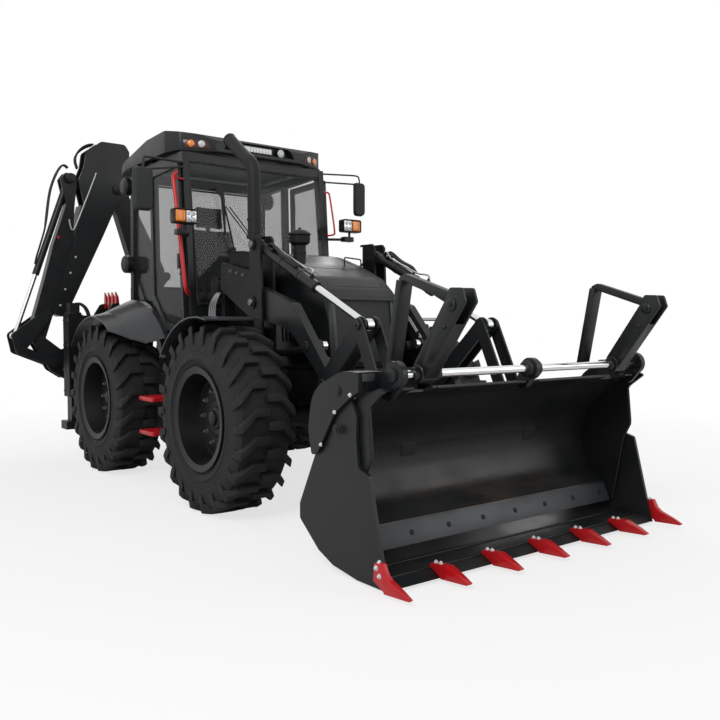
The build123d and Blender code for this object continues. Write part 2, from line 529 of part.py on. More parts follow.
boom_line = [(258, 985, 60), (262, 1060, 60), (222, 1290, 200), (120, 1800, 300), (-100, 2480, 300), (-330, 2960, 60),
             (-430, 3000, 60), (-505, 2900, 60), (-350, 2400, 300), (-150, 1750, 300), (85, 1200, 200), (108, 980, 60)]
boom = slab("x", boom_line, HOE_X - 62, HOE_X + 62)
slot = slab("x", [(90, 2060), (-130, 2060), (-420, 2660), (-560, 3100), (-200, 3100), (30, 2300)], HOE_X - 44, HOE_X + 44)
foot = disc("x", BOOM_FOOT, 76, HOE_X - 118, HOE_X + 118)
well = [strap("x", BOOM_RAM_EYE, far, 112, 100, HOE_X - 48, HOE_X + 48) for far in ((440, 1230), (450, 1010), (416, 784))]
well += [disc("x", DIPPER_RAM_BASE, 52, HOE_X - 47, HOE_X + 47)]
boom_lugs = [strap("x", BOOM_RAM_EYE, (60, 1750), 48, 60, w, w + 20) for w in (HOE_X - 50, HOE_X + 30)]
ram_lugs = [strap("x", DIPPER_RAM_BASE, (40, 1900), 50, 110, w, w + 14) for w in (HOE_X - 62, HOE_X + 48)]
pin = bar((HOE_X - 60, *DIPPER_PIVOT), (HOE_X + 60, *DIPPER_PIVOT), 30)
write("boom", boom.fuse(*ram_lugs).cut(slot, *well), *boom_lugs, foot, pin)

head = [(-860, 2960, 40), (-792, 3135, 60), (-769, 3290, 60), (-600, 3420, 60), (-330, 3420, 60), (-279, 3340, 40), (-310, 2840, 40),
        (-415, 2779, 60), (-595, 2376), (-954, 1615), (-974, 1500), (-1060, 1480), (-1133, 1504), (-906, 2355), (-800, 2720)]
cheeks = [slab("x", head, HOE_X - 96, HOE_X - 72), slab("x", head, HOE_X + 72, HOE_X + 96)]
core = [(-830, 2700), (-600, 2560), (-600, 2376), (-954, 1615), (-974, 1500), (-1060, 1480), (-1133, 1504), (-906, 2355)]
sleeves = [disc("x", DIPPER_TAIL, 40, w, w + 43) for w in (HOE_X - 72, HOE_X + 29)]
sleeves += [disc("x", DIPPER_PIVOT, 62, w, w + 8) for w in (HOE_X - 72, HOE_X + 64)]
write("dipper", *cheeks, *sleeves, slab("x", core, HOE_X - 96, HOE_X + 96))

ext = [(-890, 2740), (-914, 2357), (-1141, 1506), (-1240, 1195, 40), (-1390, 1190, 60), (-1395, 1300, 40), (-1336, 1490),
       (-1226, 1877), (-1130, 2245), (-1000, 2640), (-970, 2740)]
ears = [slab("x", [(-892, 2700), (-860, 2966, 10), (-880, 3040, 40), (-990, 3040, 30), (-1042, 2966, 20), (-983, 2700)], w, w + 20)
        for w in (HOE_X - 59, HOE_X + 39)]
bosses = [disc("x", HOE_LEVER_PIVOT, 46, w, w + 27) for w in (HOE_X - 87, HOE_X + 60)]
curl_pin = disc("x", HOE_BUCKET_PIVOT, 22, HOE_X - 92, HOE_X + 92)
write("dipper_extension", slab("x", ext, HOE_X - 60, HOE_X + 60), *ears, *bosses, curl_pin)

lever = []
for w in (HOE_X - 106, HOE_X + 92):
    lever += [strap("x", HOE_LEVER_PIVOT, CROWD_EYE, 50, 50, w, w + 14), strap("x", HOE_LEVER_PIVOT, HOE_LINK_PIVOT, 50, 48, w, w + 14)]
    lever += [strap("x", CROWD_EYE, HOE_LINK_PIVOT, 50, 48, w, w + 14)]
lever += [disc("x", CROWD_EYE, 36, w, w + 58) for w in (HOE_X - 94, HOE_X + 36)]
write("hoe_lever", *lever)
link = [strap("x", HOE_LINK_PIVOT, HOE_LINK_EYE, 46, 46, w, w + 12) for w in (HOE_X - 124, HOE_X + 112)]
write("hoe_link", *link)

plate_line = [(-1400, 1260, 50), (-1320, 1320, 40), (-1080, 1130, 40), (-990, 1100), (-960, 870, 30), (-1040, 800, 30), (-1190, 900, 40)]
hitch = [slab("x", plate_line, w, w + 18).cut(disc("x", HOE_BUCKET_PIVOT, 22.5, w - 5, w + 25)) for w in (HOE_X - 84, HOE_X + 66)]
hitch += [slab("x", [(-1080, 1130), (-990, 1105), (-960, 880), (-1040, 860)], HOE_X - 84, HOE_X + 84)]
HB = 200
back = [(-1000, 1110), (-960, 850, 60), (-800, 720, 150), (-560, 760, 200), (-430, 1100, 300), (-470, 1640)]
skin = sheet("x", back, 16, HOE_X - HB, HOE_X + HB)
side_b = back + [(-540, 1620), (-820, 1180, 80)]
sides = [slab("x", side_b, HOE_X - HB, HOE_X - HB + 16), slab("x", side_b, HOE_X + HB - 16, HOE_X + HB)]
write("hoe_bucket", skin, *sides, *hitch)
tips = [slab("x", [(-492, 1580), (-448, 1580), (-462, 1700), (-490, 1760)], x - 22, x + 22) for x in (HOE_X - 165, HOE_X - 55, HOE_X + 55, HOE_X + 165)]
write("hoe_teeth", *[clear_of(s, [skin, *sides]) for s in tips])

barrel, piston = cylinder("x", BOOM_RAM_BASE, BOOM_RAM_EYE, HOE_X, 24, 560, 42, 24, 42, 535, 60)
write("boom_ram_barrel", barrel)
write("boom_ram_rod", piston)
barrel, piston = cylinder("x", DIPPER_RAM_BASE, DIPPER_TAIL, HOE_X, 24, 850, 36, 24, 42, 850, 70)
write("dipper_ram_barrel", barrel)
write("dipper_ram_rod", piston)
barrel, piston = cylinder("x", CROWD_RAM_BASE, CROWD_EYE, HOE_X, 28, 1115, 36, 22, 42, 1235, 70)
write("crowd_ram_barrel", barrel)
write("crowd_ram_rod", piston)
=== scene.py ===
"""Finish and fittings of a backhoe loader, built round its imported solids."""
import json
import math

import bpy
from mathutils import Matrix, Vector


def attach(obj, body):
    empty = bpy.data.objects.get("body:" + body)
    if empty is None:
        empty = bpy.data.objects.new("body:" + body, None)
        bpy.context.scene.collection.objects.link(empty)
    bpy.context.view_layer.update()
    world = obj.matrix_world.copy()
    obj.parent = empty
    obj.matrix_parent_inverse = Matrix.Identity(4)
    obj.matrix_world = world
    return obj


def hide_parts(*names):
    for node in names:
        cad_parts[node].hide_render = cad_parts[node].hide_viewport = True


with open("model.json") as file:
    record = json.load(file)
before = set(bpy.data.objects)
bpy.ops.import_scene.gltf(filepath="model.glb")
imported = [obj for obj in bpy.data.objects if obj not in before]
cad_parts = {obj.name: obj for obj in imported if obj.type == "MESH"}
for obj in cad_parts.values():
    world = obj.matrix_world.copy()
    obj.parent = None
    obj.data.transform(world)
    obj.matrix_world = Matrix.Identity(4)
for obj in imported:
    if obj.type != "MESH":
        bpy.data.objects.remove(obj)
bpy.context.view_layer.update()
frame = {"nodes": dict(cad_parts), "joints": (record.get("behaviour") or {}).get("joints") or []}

# --- Tyres ----------------------------------------------------------------------
# Industrial radials with deep skewed lugs, moulded in black rubber.  The walls
# carry rings and a fringe of short ribs, and dry dirt stays between the lugs.
corners = ("front_left", "front_right", "rear_left", "rear_right")
pivots = {j["name"]: Vector(j["pos_m"]) for j in frame["joints"] if j.get("pos_m")}
wheel_mid = {c: pivots["spin_" + c] for c in corners}
ground_mid = sum(wheel_mid.values(), Vector()) / 4
ground_mid.z = 0.0
AXLE_HEIGHT = 0.70


def spot(x, y, z):
    """Place of a point measured from the ground under the wheelbase's middle, X ahead, Y left."""
    return ground_mid + Vector((x, y, z))


def group_start(name, inputs, outputs):
    """A node group with its sockets, and its input and output nodes."""
    group = bpy.data.node_groups.new(name, "ShaderNodeTree")
    for label, kind, value in inputs:
        group.interface.new_socket(label, in_out="INPUT", socket_type=kind).default_value = value
    for label, kind in outputs:
        group.interface.new_socket(label, in_out="OUTPUT", socket_type=kind)
    return group, group.nodes.new("NodeGroupInput"), group.nodes.new("NodeGroupOutput")


def node(tree, kind, *sources, **settings):
    """A node with sources joined to its inputs in turn, and inputs i0, i1... or settings set."""
    made = tree.nodes.new(kind)
    for key, value in settings.items():
        if key[0] == "i" and key[1:].isdigit():
            made.inputs[int(key[1:])].default_value = value
        else:
            setattr(made, key, value)
    for number, source in enumerate(sources):
        if source is not None:
            tree.links.new(source, made.inputs[number])
    return made.outputs[0]


def math_of(tree, operation, *values):
    """A Math node on values that are sockets or numbers."""
    made = tree.nodes.new("ShaderNodeMath")
    made.operation = operation
    for number, value in enumerate(values):
        if isinstance(value, (int, float)):
            made.inputs[number].default_value = value
        else:
            tree.links.new(value, made.inputs[number])
    return made.outputs[0]


def blend_of(tree, factor, first, second):
    """Colour mix of two sockets or colours."""
    made = tree.nodes.new("ShaderNodeMix")
    made.data_type = "RGBA"
    tree.links.new(factor, made.inputs["Factor"])
    for label, value in (("A", first), ("B", second)):
        if isinstance(value, tuple):
            made.inputs[label].default_value = (*value, 1)
        else:
            tree.links.new(value, made.inputs[label])
    return made.outputs["Result"]


def rubber_group():
    """Moulded rings and ribs round an axle, fine grain, and dirt between the lugs."""
    g, start, end = group_start(
        "moulded rubber", [("Axle X", "NodeSocketFloat", 0.0),
                           ("Axle Z", "NodeSocketFloat", AXLE_HEIGHT)],
        [("Colour", "NodeSocketColor"), ("Roughness", "NodeSocketFloat"), ("Height", "NodeSocketFloat")])
    place = g.nodes.new("ShaderNodeTexCoord").outputs["Object"]
    split = g.nodes.new("ShaderNodeSeparateXYZ")
    g.links.new(place, split.inputs[0])
    u = math_of(g, "SUBTRACT", split.outputs["X"], start.outputs["Axle X"])
    v = math_of(g, "SUBTRACT", split.outputs["Z"], start.outputs["Axle Z"])
    r = math_of(g, "SQRT", math_of(g, "ADD", math_of(g, "MULTIPLY", u, u), math_of(g, "MULTIPLY", v, v)))
    rings = []
    for radius, half in ((0.404, 0.006), (0.452, 0.011), (0.505, 0.004)):
        gap = math_of(g, "ABSOLUTE", math_of(g, "SUBTRACT", r, radius))
        rings.append(node(g, "ShaderNodeMapRange", gap, i1=half, i2=half * 0.5, i3=0.0, i4=1.0))
    turn = math_of(g, "SINE", math_of(g, "MULTIPLY", math_of(g, "ARCTAN2", v, u), 132.0))
    rib = node(g, "ShaderNodeMapRange", turn, i1=0.0, i2=0.5, i3=0.0, i4=0.6)
    inner = math_of(g, "GREATER_THAN", r, 0.522)
    outer = math_of(g, "LESS_THAN", r, 0.556)
    rib = math_of(g, "MULTIPLY", rib, math_of(g, "MULTIPLY", inner, outer))
    grain = node(g, "ShaderNodeTexNoise", place, i2=320.0, i3=3.0)
    relief = math_of(g, "ADD", math_of(g, "ADD", rings[0], rings[1]), math_of(g, "ADD", rings[2], rib))
    g.links.new(math_of(g, "ADD", relief, math_of(g, "MULTIPLY", grain, 0.10)), end.inputs["Height"])
    cloud = node(g, "ShaderNodeTexNoise", place, i2=5.0, i3=6.0)
    dirt = node(g, "ShaderNodeMapRange", cloud, i1=0.45, i2=0.75, i3=0.0, i4=0.35)
    g.links.new(blend_of(g, dirt, (0.0095, 0.0097, 0.010), (0.030, 0.027, 0.024)), end.inputs["Colour"])
    g.links.new(node(g, "ShaderNodeMapRange", cloud, i1=0.3, i2=0.7, i3=0.62, i4=0.82),
                end.inputs["Roughness"])
    return g


def plain_shader(name):
    """A new material with its tree and its main shader."""
    made = bpy.data.materials.new(name)
    made.use_nodes = True
    return made, made.node_tree, made.node_tree.nodes["Principled BSDF"]


def relief_to(tree, shader, height, depth, strength=1.0):
    """Raises the surface by a height value."""
    bump = tree.nodes.new("ShaderNodeBump")
    bump.inputs["Strength"].default_value = strength
    bump.inputs["Distance"].default_value = depth
    tree.links.new(height, bump.inputs["Height"])
    tree.links.new(bump.outputs["Normal"], shader.inputs["Normal"])


def finish_node(material, *names):
    """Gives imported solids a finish."""
    for name in names:
        solid = frame["nodes"][name]
        solid.data.materials.clear()
        solid.data.materials.append(material)


def take(made):
    """Leaves only this piece selected, and active."""
    bpy.ops.object.select_all(action="DESELECT")
    made.select_set(True)
    bpy.context.view_layer.objects.active = made


def twin_of(pattern):
    """A copy of a piece with its own mesh."""
    copy = pattern.copy()
    copy.data = pattern.data.copy()
    bpy.context.collection.objects.link(copy)
    return copy


def joined_up(pieces):
    """Several meshes made one."""
    bpy.ops.object.select_all(action="DESELECT")
    for made in pieces:
        made.select_set(True)
    bpy.context.view_layer.objects.active = pieces[0]
    if len(pieces) > 1:
        bpy.ops.object.join()
    return pieces[0]


def settle(made, name, body, finish, smooth=35):
    """Names a finished piece, gives it its material, and lets it ride on its body."""
    take(made)
    bpy.ops.object.transform_apply(location=True, rotation=True, scale=True)
    if smooth:
        bpy.ops.object.shade_smooth_by_angle(angle=math.radians(smooth))
    made.name = name
    made.data.name = name
    made.data.materials.clear()
    made.data.materials.append(finish)
    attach(made, body)
    return made


def pressed_on(steps, sides):
    """A closed ring turned from a loop of (height, radius) steps round Z."""
    bpy.ops.object.select_all(action="DESELECT")
    foot, radius = steps[0]
    bpy.ops.mesh.primitive_circle_add(vertices=sides, radius=radius, fill_type="NOTHING",
                                      location=(0, 0, 0))
    made = bpy.context.object
    bpy.ops.object.mode_set(mode="EDIT")
    bpy.ops.mesh.select_all(action="SELECT")
    bpy.ops.transform.translate(value=(0, 0, foot))
    at = foot
    for height, wide in steps[1:] + steps[:1]:
        bpy.ops.mesh.extrude_region_move(TRANSFORM_OT_translate={"value": (0, 0, height - at)})
        at = height
        bpy.ops.transform.resize(value=(wide / radius, wide / radius, 1), center_override=(0, 0, at))
        radius = wide
    bpy.ops.mesh.select_all(action="SELECT")
    bpy.ops.mesh.remove_doubles(threshold=0.0001)
    bpy.ops.mesh.normals_make_consistent(inside=False)
    bpy.ops.object.mode_set(mode="OBJECT")
    return made


def pick_faces(made, test):
    """Leaves the piece in edit mode with the faces that pass the test selected."""
    bpy.ops.object.mode_set(mode="EDIT")
    bpy.ops.mesh.select_mode(type="FACE")
    bpy.ops.mesh.select_all(action="DESELECT")
    bpy.ops.object.mode_set(mode="OBJECT")
    for face in made.data.polygons:
        face.select = bool(test(face))
    bpy.ops.object.mode_set(mode="EDIT")


LUG_PAIRS = 22
WALL = [(-0.191, 0.357), (-0.191, 0.402), (-0.200, 0.412), (-0.206, 0.432), (-0.214, 0.438),
        (-0.217, 0.452), (-0.213, 0.466),
        (-0.2105, 0.480), (-0.212, 0.520), (-0.211, 0.560), (-0.205, 0.610), (-0.190, 0.640),
        (-0.150, 0.652), (-0.075, 0.660)]
carcass = pressed_on(WALL + [(-h, r) for h, r in WALL[::-1]], 132)
carcass.data.transform(Matrix.Rotation(math.radians(90), 4, "X"))

bpy.ops.object.select_all(action="DESELECT")
bpy.ops.mesh.primitive_cube_add(size=1, location=(0.0, 0.054, 0.670), scale=(0.060, 0.114, 0.060))
lug = bpy.context.object
bpy.ops.object.transform_apply(location=True, rotation=True, scale=True)
for shift, narrow in (((-0.052, 0.050, -0.004), 1.0), ((-0.048, 0.052, -0.020), 1.06),
                      ((-0.004, 0.006, -0.070), 0.92)):
    end = max(f.center.y for f in lug.data.polygons)
    pick_faces(lug, lambda f: f.center.y > end - 0.0005 and f.normal.y > 0.5)
    bpy.ops.mesh.extrude_region_move(TRANSFORM_OT_translate={"value": shift})
    bpy.ops.transform.resize(value=(narrow, 1, narrow))
    bpy.ops.object.mode_set(mode="OBJECT")
bpy.ops.object.mode_set(mode="EDIT")
bpy.ops.mesh.select_all(action="SELECT")
bpy.ops.mesh.bevel(offset=0.005, segments=2, affect="EDGES")
bpy.ops.object.mode_set(mode="OBJECT")
lug.data.transform(Matrix.Translation((0.0, 0.0, -0.0005)))
other_lug = twin_of(lug)
other_lug.data.transform(Matrix.Diagonal((1, -1, 1, 1)))
other_lug.data.flip_normals()
ribs = [carcass]
for hand, made in ((0.0, lug), (0.5, other_lug)):
    for i in range(LUG_PAIRS):
        copy = twin_of(made)
        copy.data.transform(Matrix.Rotation(math.tau * (i + hand) / LUG_PAIRS, 4, "Y"))
        ribs.append(copy)
    bpy.data.objects.remove(made)
tyre = joined_up(ribs)

RUBBER = rubber_group()
for axle in ("front", "rear"):
    tyre_rubber, tree, shader = plain_shader(f"tyre rubber {axle}")
    moulded = tree.nodes.new("ShaderNodeGroup")
    moulded.node_tree = RUBBER
    moulded.inputs["Axle X"].default_value = wheel_mid[f"{axle}_left"].x
    tree.links.new(moulded.outputs["Colour"], shader.inputs["Base Color"])
    tree.links.new(moulded.outputs["Roughness"], shader.inputs["Roughness"])
    relief_to(tree, shader, moulded.outputs["Height"], 0.004)
    shader.inputs["Specular IOR Level"].default_value = 0.30
    for side, hand in (("left", 1), ("right", -1)):
        c = f"{axle}_{side}"
        made = twin_of(tyre)
        if hand < 0:
            made.data.transform(Matrix.Rotation(math.pi, 4, "Z"))
        made.data.transform(Matrix.Translation((wheel_mid[c].x, wheel_mid[c].y, AXLE_HEIGHT)))
        settle(made, f"lugged_tyre_{c}", f"wheel_{c}", tyre_rubber, 30)
        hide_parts(f"tyre_{c}")
bpy.data.objects.remove(tyre)

# --- Rims -----------------------------------------------------------------------
# Deep pressed rims, sprayed black.  Ten coned nuts on studs hold each one, and the
# hub's domed cap and the valve show in the middle.


def film_group():
    """Gloss and colour variation of a sprayed film, with dust that gathers near the ground."""
    g, start, end = group_start(
        "sprayed film",
        [("Colour", "NodeSocketColor", (0.01, 0.01, 0.011, 1)),
         ("Dust colour", "NodeSocketColor", (0.09, 0.08, 0.07, 1)),
         ("Roughness", "NodeSocketFloat", 0.35), ("Dust", "NodeSocketFloat", 0.2),
         ("Scale", "NodeSocketFloat", 3.0)],
        [("Colour", "NodeSocketColor"), ("Roughness", "NodeSocketFloat"), ("Height", "NodeSocketFloat")])
    place = g.nodes.new("ShaderNodeTexCoord").outputs["Object"]
    cloud = node(g, "ShaderNodeTexNoise", place, start.outputs["Scale"], i3=6.0)
    g.links.new(start.outputs["Scale"], cloud.node.inputs["Scale"])
    peel = node(g, "ShaderNodeTexNoise", place, i2=240.0, i3=2.0)
    split = g.nodes.new("ShaderNodeSeparateXYZ")
    g.links.new(place, split.inputs[0])
    low = node(g, "ShaderNodeMapRange", split.outputs["Z"], i1=1.2, i2=0.0, i3=0.10, i4=1.0)
    patch = node(g, "ShaderNodeMapRange", cloud, i1=0.42, i2=0.78)
    amount = math_of(g, "MULTIPLY", math_of(g, "MULTIPLY", low, patch), start.outputs["Dust"])
    g.links.new(blend_of(g, amount, start.outputs["Colour"], start.outputs["Dust colour"]),
                end.inputs["Colour"])
    sway = node(g, "ShaderNodeMapRange", cloud, i1=0.3, i2=0.7, i3=-0.05, i4=0.07)
    rough = math_of(g, "ADD", math_of(g, "ADD", start.outputs["Roughness"], sway), amount)
    g.links.new(rough, end.inputs["Roughness"])
    g.links.new(peel, end.inputs["Height"])
    return g


FILM = film_group()


def sprayed(name, colour, roughness=0.35, dust=0.25, peel=0.12, scale=3.0, metallic=0.0, coat=0.0,
            specular=0.25):
    """A painted, plated or moulded finish on the film group."""
    made, tree, shader = plain_shader(name)
    film = tree.nodes.new("ShaderNodeGroup")
    film.node_tree = FILM
    for label, value in (("Colour", (*colour, 1)), ("Roughness", roughness), ("Dust", dust),
                         ("Scale", scale)):
        film.inputs[label].default_value = value
    tree.links.new(film.outputs["Colour"], shader.inputs["Base Color"])
    tree.links.new(film.outputs["Roughness"], shader.inputs["Roughness"])
    relief_to(tree, shader, film.outputs["Height"], 0.001, peel)
    shader.inputs["Metallic"].default_value = metallic
    shader.inputs["Coat Weight"].default_value = coat
    shader.inputs["Coat Roughness"].default_value = 0.2
    shader.inputs["Specular IOR Level"].default_value = specular
    return made


def turned(steps, place, axis, sides=24):
    """A round piece raised from a disc: each step is (height, radius) along the axis from the place."""
    bpy.ops.object.select_all(action="DESELECT")
    foot, radius = steps[0]
    bpy.ops.mesh.primitive_circle_add(vertices=sides, radius=radius, fill_type="NGON", location=(0, 0, 0))
    made = bpy.context.object
    bpy.ops.object.mode_set(mode="EDIT")
    bpy.ops.mesh.select_all(action="SELECT")
    at = 0.0
    for height, wide in steps[1:]:
        bpy.ops.mesh.extrude_region_move(TRANSFORM_OT_translate={"value": (0, 0, height - foot - at)})
        at = height - foot
        bpy.ops.transform.resize(value=(wide / radius, wide / radius, 1), center_override=(0, 0, at))
        radius = wide
    bpy.ops.mesh.select_all(action="SELECT")
    bpy.ops.mesh.normals_make_consistent(inside=False)
    bpy.ops.object.mode_set(mode="OBJECT")
    axis = Vector(axis).normalized()
    turn = Vector((0, 0, 1)).rotation_difference(axis).to_matrix().to_4x4()
    made.data.transform(Matrix.Translation(Vector(place) + axis * foot) @ turn)
    return made


def set_out(pattern, places):
    """Copies of a piece modelled along Z, one at each (place, axis), joined into one."""
    made = []
    for place, axis in places:
        copy = twin_of(pattern)
        turn = Vector((0, 0, 1)).rotation_difference(Vector(axis).normalized()).to_matrix().to_4x4()
        copy.data.transform(Matrix.Translation(Vector(place)) @ turn)
        made.append(copy)
    bpy.data.objects.remove(pattern)
    return joined_up(made)


def hex_bolt(wide, high, washer=1.35):
    """A bolt head on its washer, with its chamfer and the stud's end."""
    ring = turned([(0, wide * washer), (high * 0.16, wide * washer), (high * 0.2, wide * washer * 0.94)],
                  (0, 0, 0), (0, 0, 1), 20)
    head = turned([(high * 0.15, wide), (high * 0.82, wide), (high * 0.92, wide * 0.88)], (0, 0, 0),
                  (0, 0, 1), 6)
    stud = turned([(high * 0.9, wide * 0.5), (high * 1.12, wide * 0.5), (high * 1.2, wide * 0.42)],
                  (0, 0, 0), (0, 0, 1), 12)
    return joined_up([ring, head, stud])


rim_paint = sprayed("rim paint", (0.0052, 0.0054, 0.0056), 0.38, dust=0.18, specular=0.30)
dull_zinc = sprayed("dull zinc", (0.16, 0.16, 0.165), 0.38, dust=0.25, metallic=0.9)
finish_node(rim_paint, *("rim_" + c for c in corners))
FACE, STUD_RING = 0.044, 0.203
for c in corners:
    mid, out = wheel_mid[c], (1 if c.endswith("left") else -1)
    hub = Vector((mid.x, mid.y, AXLE_HEIGHT))
    nuts = [(hub + Vector((STUD_RING * math.cos(a), out * FACE, STUD_RING * math.sin(a))), (0, out, 0))
            for a in (math.tau * i / 10 for i in range(10))]
    settle(set_out(hex_bolt(0.0165, 0.026), nuts), f"wheel_nuts_{c}", f"wheel_{c}", dull_zinc)
    cap = turned([(0.050, 0.086), (0.064, 0.086), (0.070, 0.078), (0.074, 0.060), (0.092, 0.056),
                  (0.100, 0.040), (0.103, 0.015)],
                 hub, (0, out, 0), 32)
    settle(cap, f"hub_cap_{c}", f"wheel_{c}", rim_paint)
    valve = turned([(0.030, 0.009), (0.052, 0.009), (0.054, 0.006), (0.082, 0.006), (0.084, 0.008),
                    (0.098, 0.008)],
                   hub + Vector((0.262, 0, 0)), (0, out, 0), 12)
    settle(valve, f"valve_{c}", f"wheel_{c}", dull_zinc)

# --- Frame, axles and engine --------------------------------------------------
# Welded plate and cast axle cases, sprayed black after assembly.  Everything else
# that is painted black has the same satin top coat, and the pressed fenders carry a
# glossier one, painted greyer as a painted sheen for their highlights.
satin_black = sprayed("satin black", (0.0085, 0.0095, 0.0105), 0.36, dust=0.10, specular=0.30)
frame_black = sprayed("frame black", (0.0045, 0.0048, 0.0052), 0.48, dust=0.22, specular=0.22)
finish_node(satin_black, *[n for n in frame["nodes"] if not n.startswith(("tyre_", "rim_"))])
finish_node(frame_black, "chassis_frame", "axle_front", "axle_rear", "engine_block")
# The fenders' greyer colour is a painted sheen for their highlights; their lower roughness is their real
# gloss.
fender_gloss_and_sheen = sprayed("fender paint with painted sheen", (0.022, 0.024, 0.027), 0.27, dust=0.35, peel=0.06, specular=0.5)
finish_node(fender_gloss_and_sheen, "rear_fenders", "knuckle_left", "knuckle_right")


def traced(points, axis, low, high, bevel=0.0):
    """A plate cut to an outline of (u, v) points across an axis, from low to high."""
    places = [spot(*{"x": (low, u, v), "y": (u, low, v), "z": (u, v, low)}[axis]) for u, v in points]
    bpy.ops.object.select_all(action="DESELECT")
    bpy.ops.mesh.primitive_plane_add(size=0.1, location=(0, 0, 0))
    made = bpy.context.object
    bpy.ops.object.mode_set(mode="EDIT")
    bpy.ops.mesh.select_mode(type="VERT")
    bpy.ops.mesh.select_all(action="SELECT")
    bpy.ops.mesh.merge(type="CENTER")
    bpy.ops.transform.translate(value=places[0])
    for before, after in zip(places, places[1:]):
        bpy.ops.mesh.extrude_vertices_move(TRANSFORM_OT_translate={"value": after - before})
    bpy.ops.mesh.select_all(action="SELECT")
    bpy.ops.mesh.edge_face_add()
    along = {"x": (1, 0, 0), "y": (0, 1, 0), "z": (0, 0, 1)}[axis]
    bpy.ops.mesh.extrude_region_move(TRANSFORM_OT_translate={"value": Vector(along) * (high - low)})
    bpy.ops.mesh.select_all(action="SELECT")
    bpy.ops.mesh.normals_make_consistent(inside=False)
    if bevel:
        bpy.ops.mesh.bevel(offset=bevel, segments=2, affect="EDGES")
    bpy.ops.object.mode_set(mode="OBJECT")
    return made


def rounded(low, high, bevel, segments=2):
    """A block between two machine corners with rounded edges."""
    a, b = spot(*low), spot(*high)
    bpy.ops.object.select_all(action="DESELECT")
    bpy.ops.mesh.primitive_cube_add(size=1, location=(a + b) / 2, scale=[abs(n) for n in (b - a)])
    made = bpy.context.object
    bpy.ops.object.transform_apply(location=True, rotation=True, scale=True)
    bpy.ops.object.mode_set(mode="EDIT")
    bpy.ops.mesh.select_all(action="SELECT")
    bpy.ops.mesh.bevel(offset=bevel, segments=segments, affect="EDGES")
    bpy.ops.object.mode_set(mode="OBJECT")
    return made


def beside(s, near, far, low, high, bevel, segments=2):
    """A rounded block on side s between two distances from the middle; low and high are (x, z)."""
    a, b = sorted((s * near, s * far))
    return rounded((low[0], a, low[1]), (high[0], b, high[1]), bevel, segments)


def run_of(points, radius, order=3, steps=8, ring=3):
    """A hose or pipe whose line is a smooth curve through the room that the points frame, made a mesh."""
    line = bpy.data.curves.new("line", "CURVE")
    line.dimensions = "3D"
    line.bevel_depth = radius
    line.bevel_resolution = ring
    line.use_fill_caps = True
    line.resolution_u = steps
    strand = line.splines.new("NURBS")
    strand.points.add(len(points) - 1)
    for p, place in zip(strand.points, points):
        p.co = (*spot(*place), 1)
    strand.order_u = order
    strand.use_endpoint_u = True
    made = bpy.data.objects.new("line", line)
    bpy.context.collection.objects.link(made)
    take(made)
    bpy.ops.object.convert(target="MESH")
    return bpy.context.object


def both_sides(make):
    """The piece made for the left, +1, and for the right, -1, as one mesh."""
    return joined_up([make(1), make(-1)])


hose_rubber = sprayed("hose rubber", (0.007, 0.007, 0.0075), 0.50, dust=0.1, specular=0.3)
bright_zinc = sprayed("bright zinc", (0.42, 0.43, 0.44), 0.30, dust=0.1, metallic=1.0)
pin_heads = turned([(0, 0.030), (0.012, 0.030), (0.016, 0.026), (0.018, 0.012)], (0, 0, 0), (0, 0, 1), 20)
pins = [(spot(x, side * y, z), (0, side, 0)) for side in (1, -1)
        for x, y, z in ((0.93, 0.642, 1.57), (0.94, 0.642, 2.022))]
settle(set_out(pin_heads, pins), "tower_pins", "machine", dull_zinc)
tower_bolts = [(spot(0.585 + 0.1 * i, side * 0.630, 1.83 - 0.02 * i), (0, side, 0)) for side in (1, -1)
               for i in range(3)]
settle(set_out(hex_bolt(0.012, 0.014), tower_bolts), "tower_bolts", "machine", dull_zinc)
caps = both_sides(lambda s: turned([(0, 0.055), (0.006, 0.055), (0.010, 0.045), (0.034, 0.045),
                                    (0.040, 0.038)],
                                   spot(-0.08, s * 0.72, 0.880), (0, 0, 1), 24))
settle(caps, "tank_caps", "machine", frame_black)
valve_bank = joined_up([rounded((0.20, -0.690, 1.10), (0.36, -0.600, 1.34), 0.008)]
                       + [turned([(0, 0.022), (0.05, 0.022), (0.055, 0.015), (0.085, 0.015)],
                                 spot(0.225 + 0.036 * i, -0.645, 1.34),
                                 (0, 0, 1), 12) for i in range(4)])
settle(valve_bank, "valve_bank", "machine", frame_black)
unions = [run_of([(0.225 + 0.036 * i, -0.645, 1.41), (0.225 + 0.036 * i, -0.645, 1.52),
                  (0.30 + 0.03 * i, -0.66, 1.60),
                  (0.40 + 0.02 * i, -0.66, 1.66)], 0.008) for i in range(4)]
settle(joined_up(unions), "valve_unions", "machine", bright_zinc)
reservoir = turned([(0, 0.055), (0.01, 0.062), (0.13, 0.062), (0.145, 0.05), (0.15, 0.036),
                    (0.175, 0.036), (0.18, 0.03)],
                   spot(0.30, -0.60, 1.62), (0, 0, 1), 28)
settle(reservoir, "washer_reservoir", "machine", frame_black)

# --- Hood -------------------------------------------------------------------------
# One pressed steel bonnet that narrows towards the front, with its edges rolled
# and a crease along each side, sprayed like the cab.  A wire handle lifts it.


def eased(points, steps=5):
    """Outline points, with an arc of the third value's radius at each corner that has one."""
    done = []
    for i, p in enumerate(points):
        here = Vector(p[:2])
        if len(p) < 3:
            done.append(tuple(here))
            continue
        a = (Vector(points[i - 1][:2]) - here)
        b = (Vector(points[(i + 1) % len(points)][:2]) - here)
        half = a.angle(b) / 2
        back = min(p[2] / math.tan(half), a.length * 0.49, b.length * 0.49)
        start, end = here + a.normalized() * back, here + b.normalized() * back
        for k in range(steps + 1):
            t = k / steps
            done.append(tuple(start * (1 - t) ** 2 + here * 2 * t * (1 - t) + end * t ** 2))
    return done


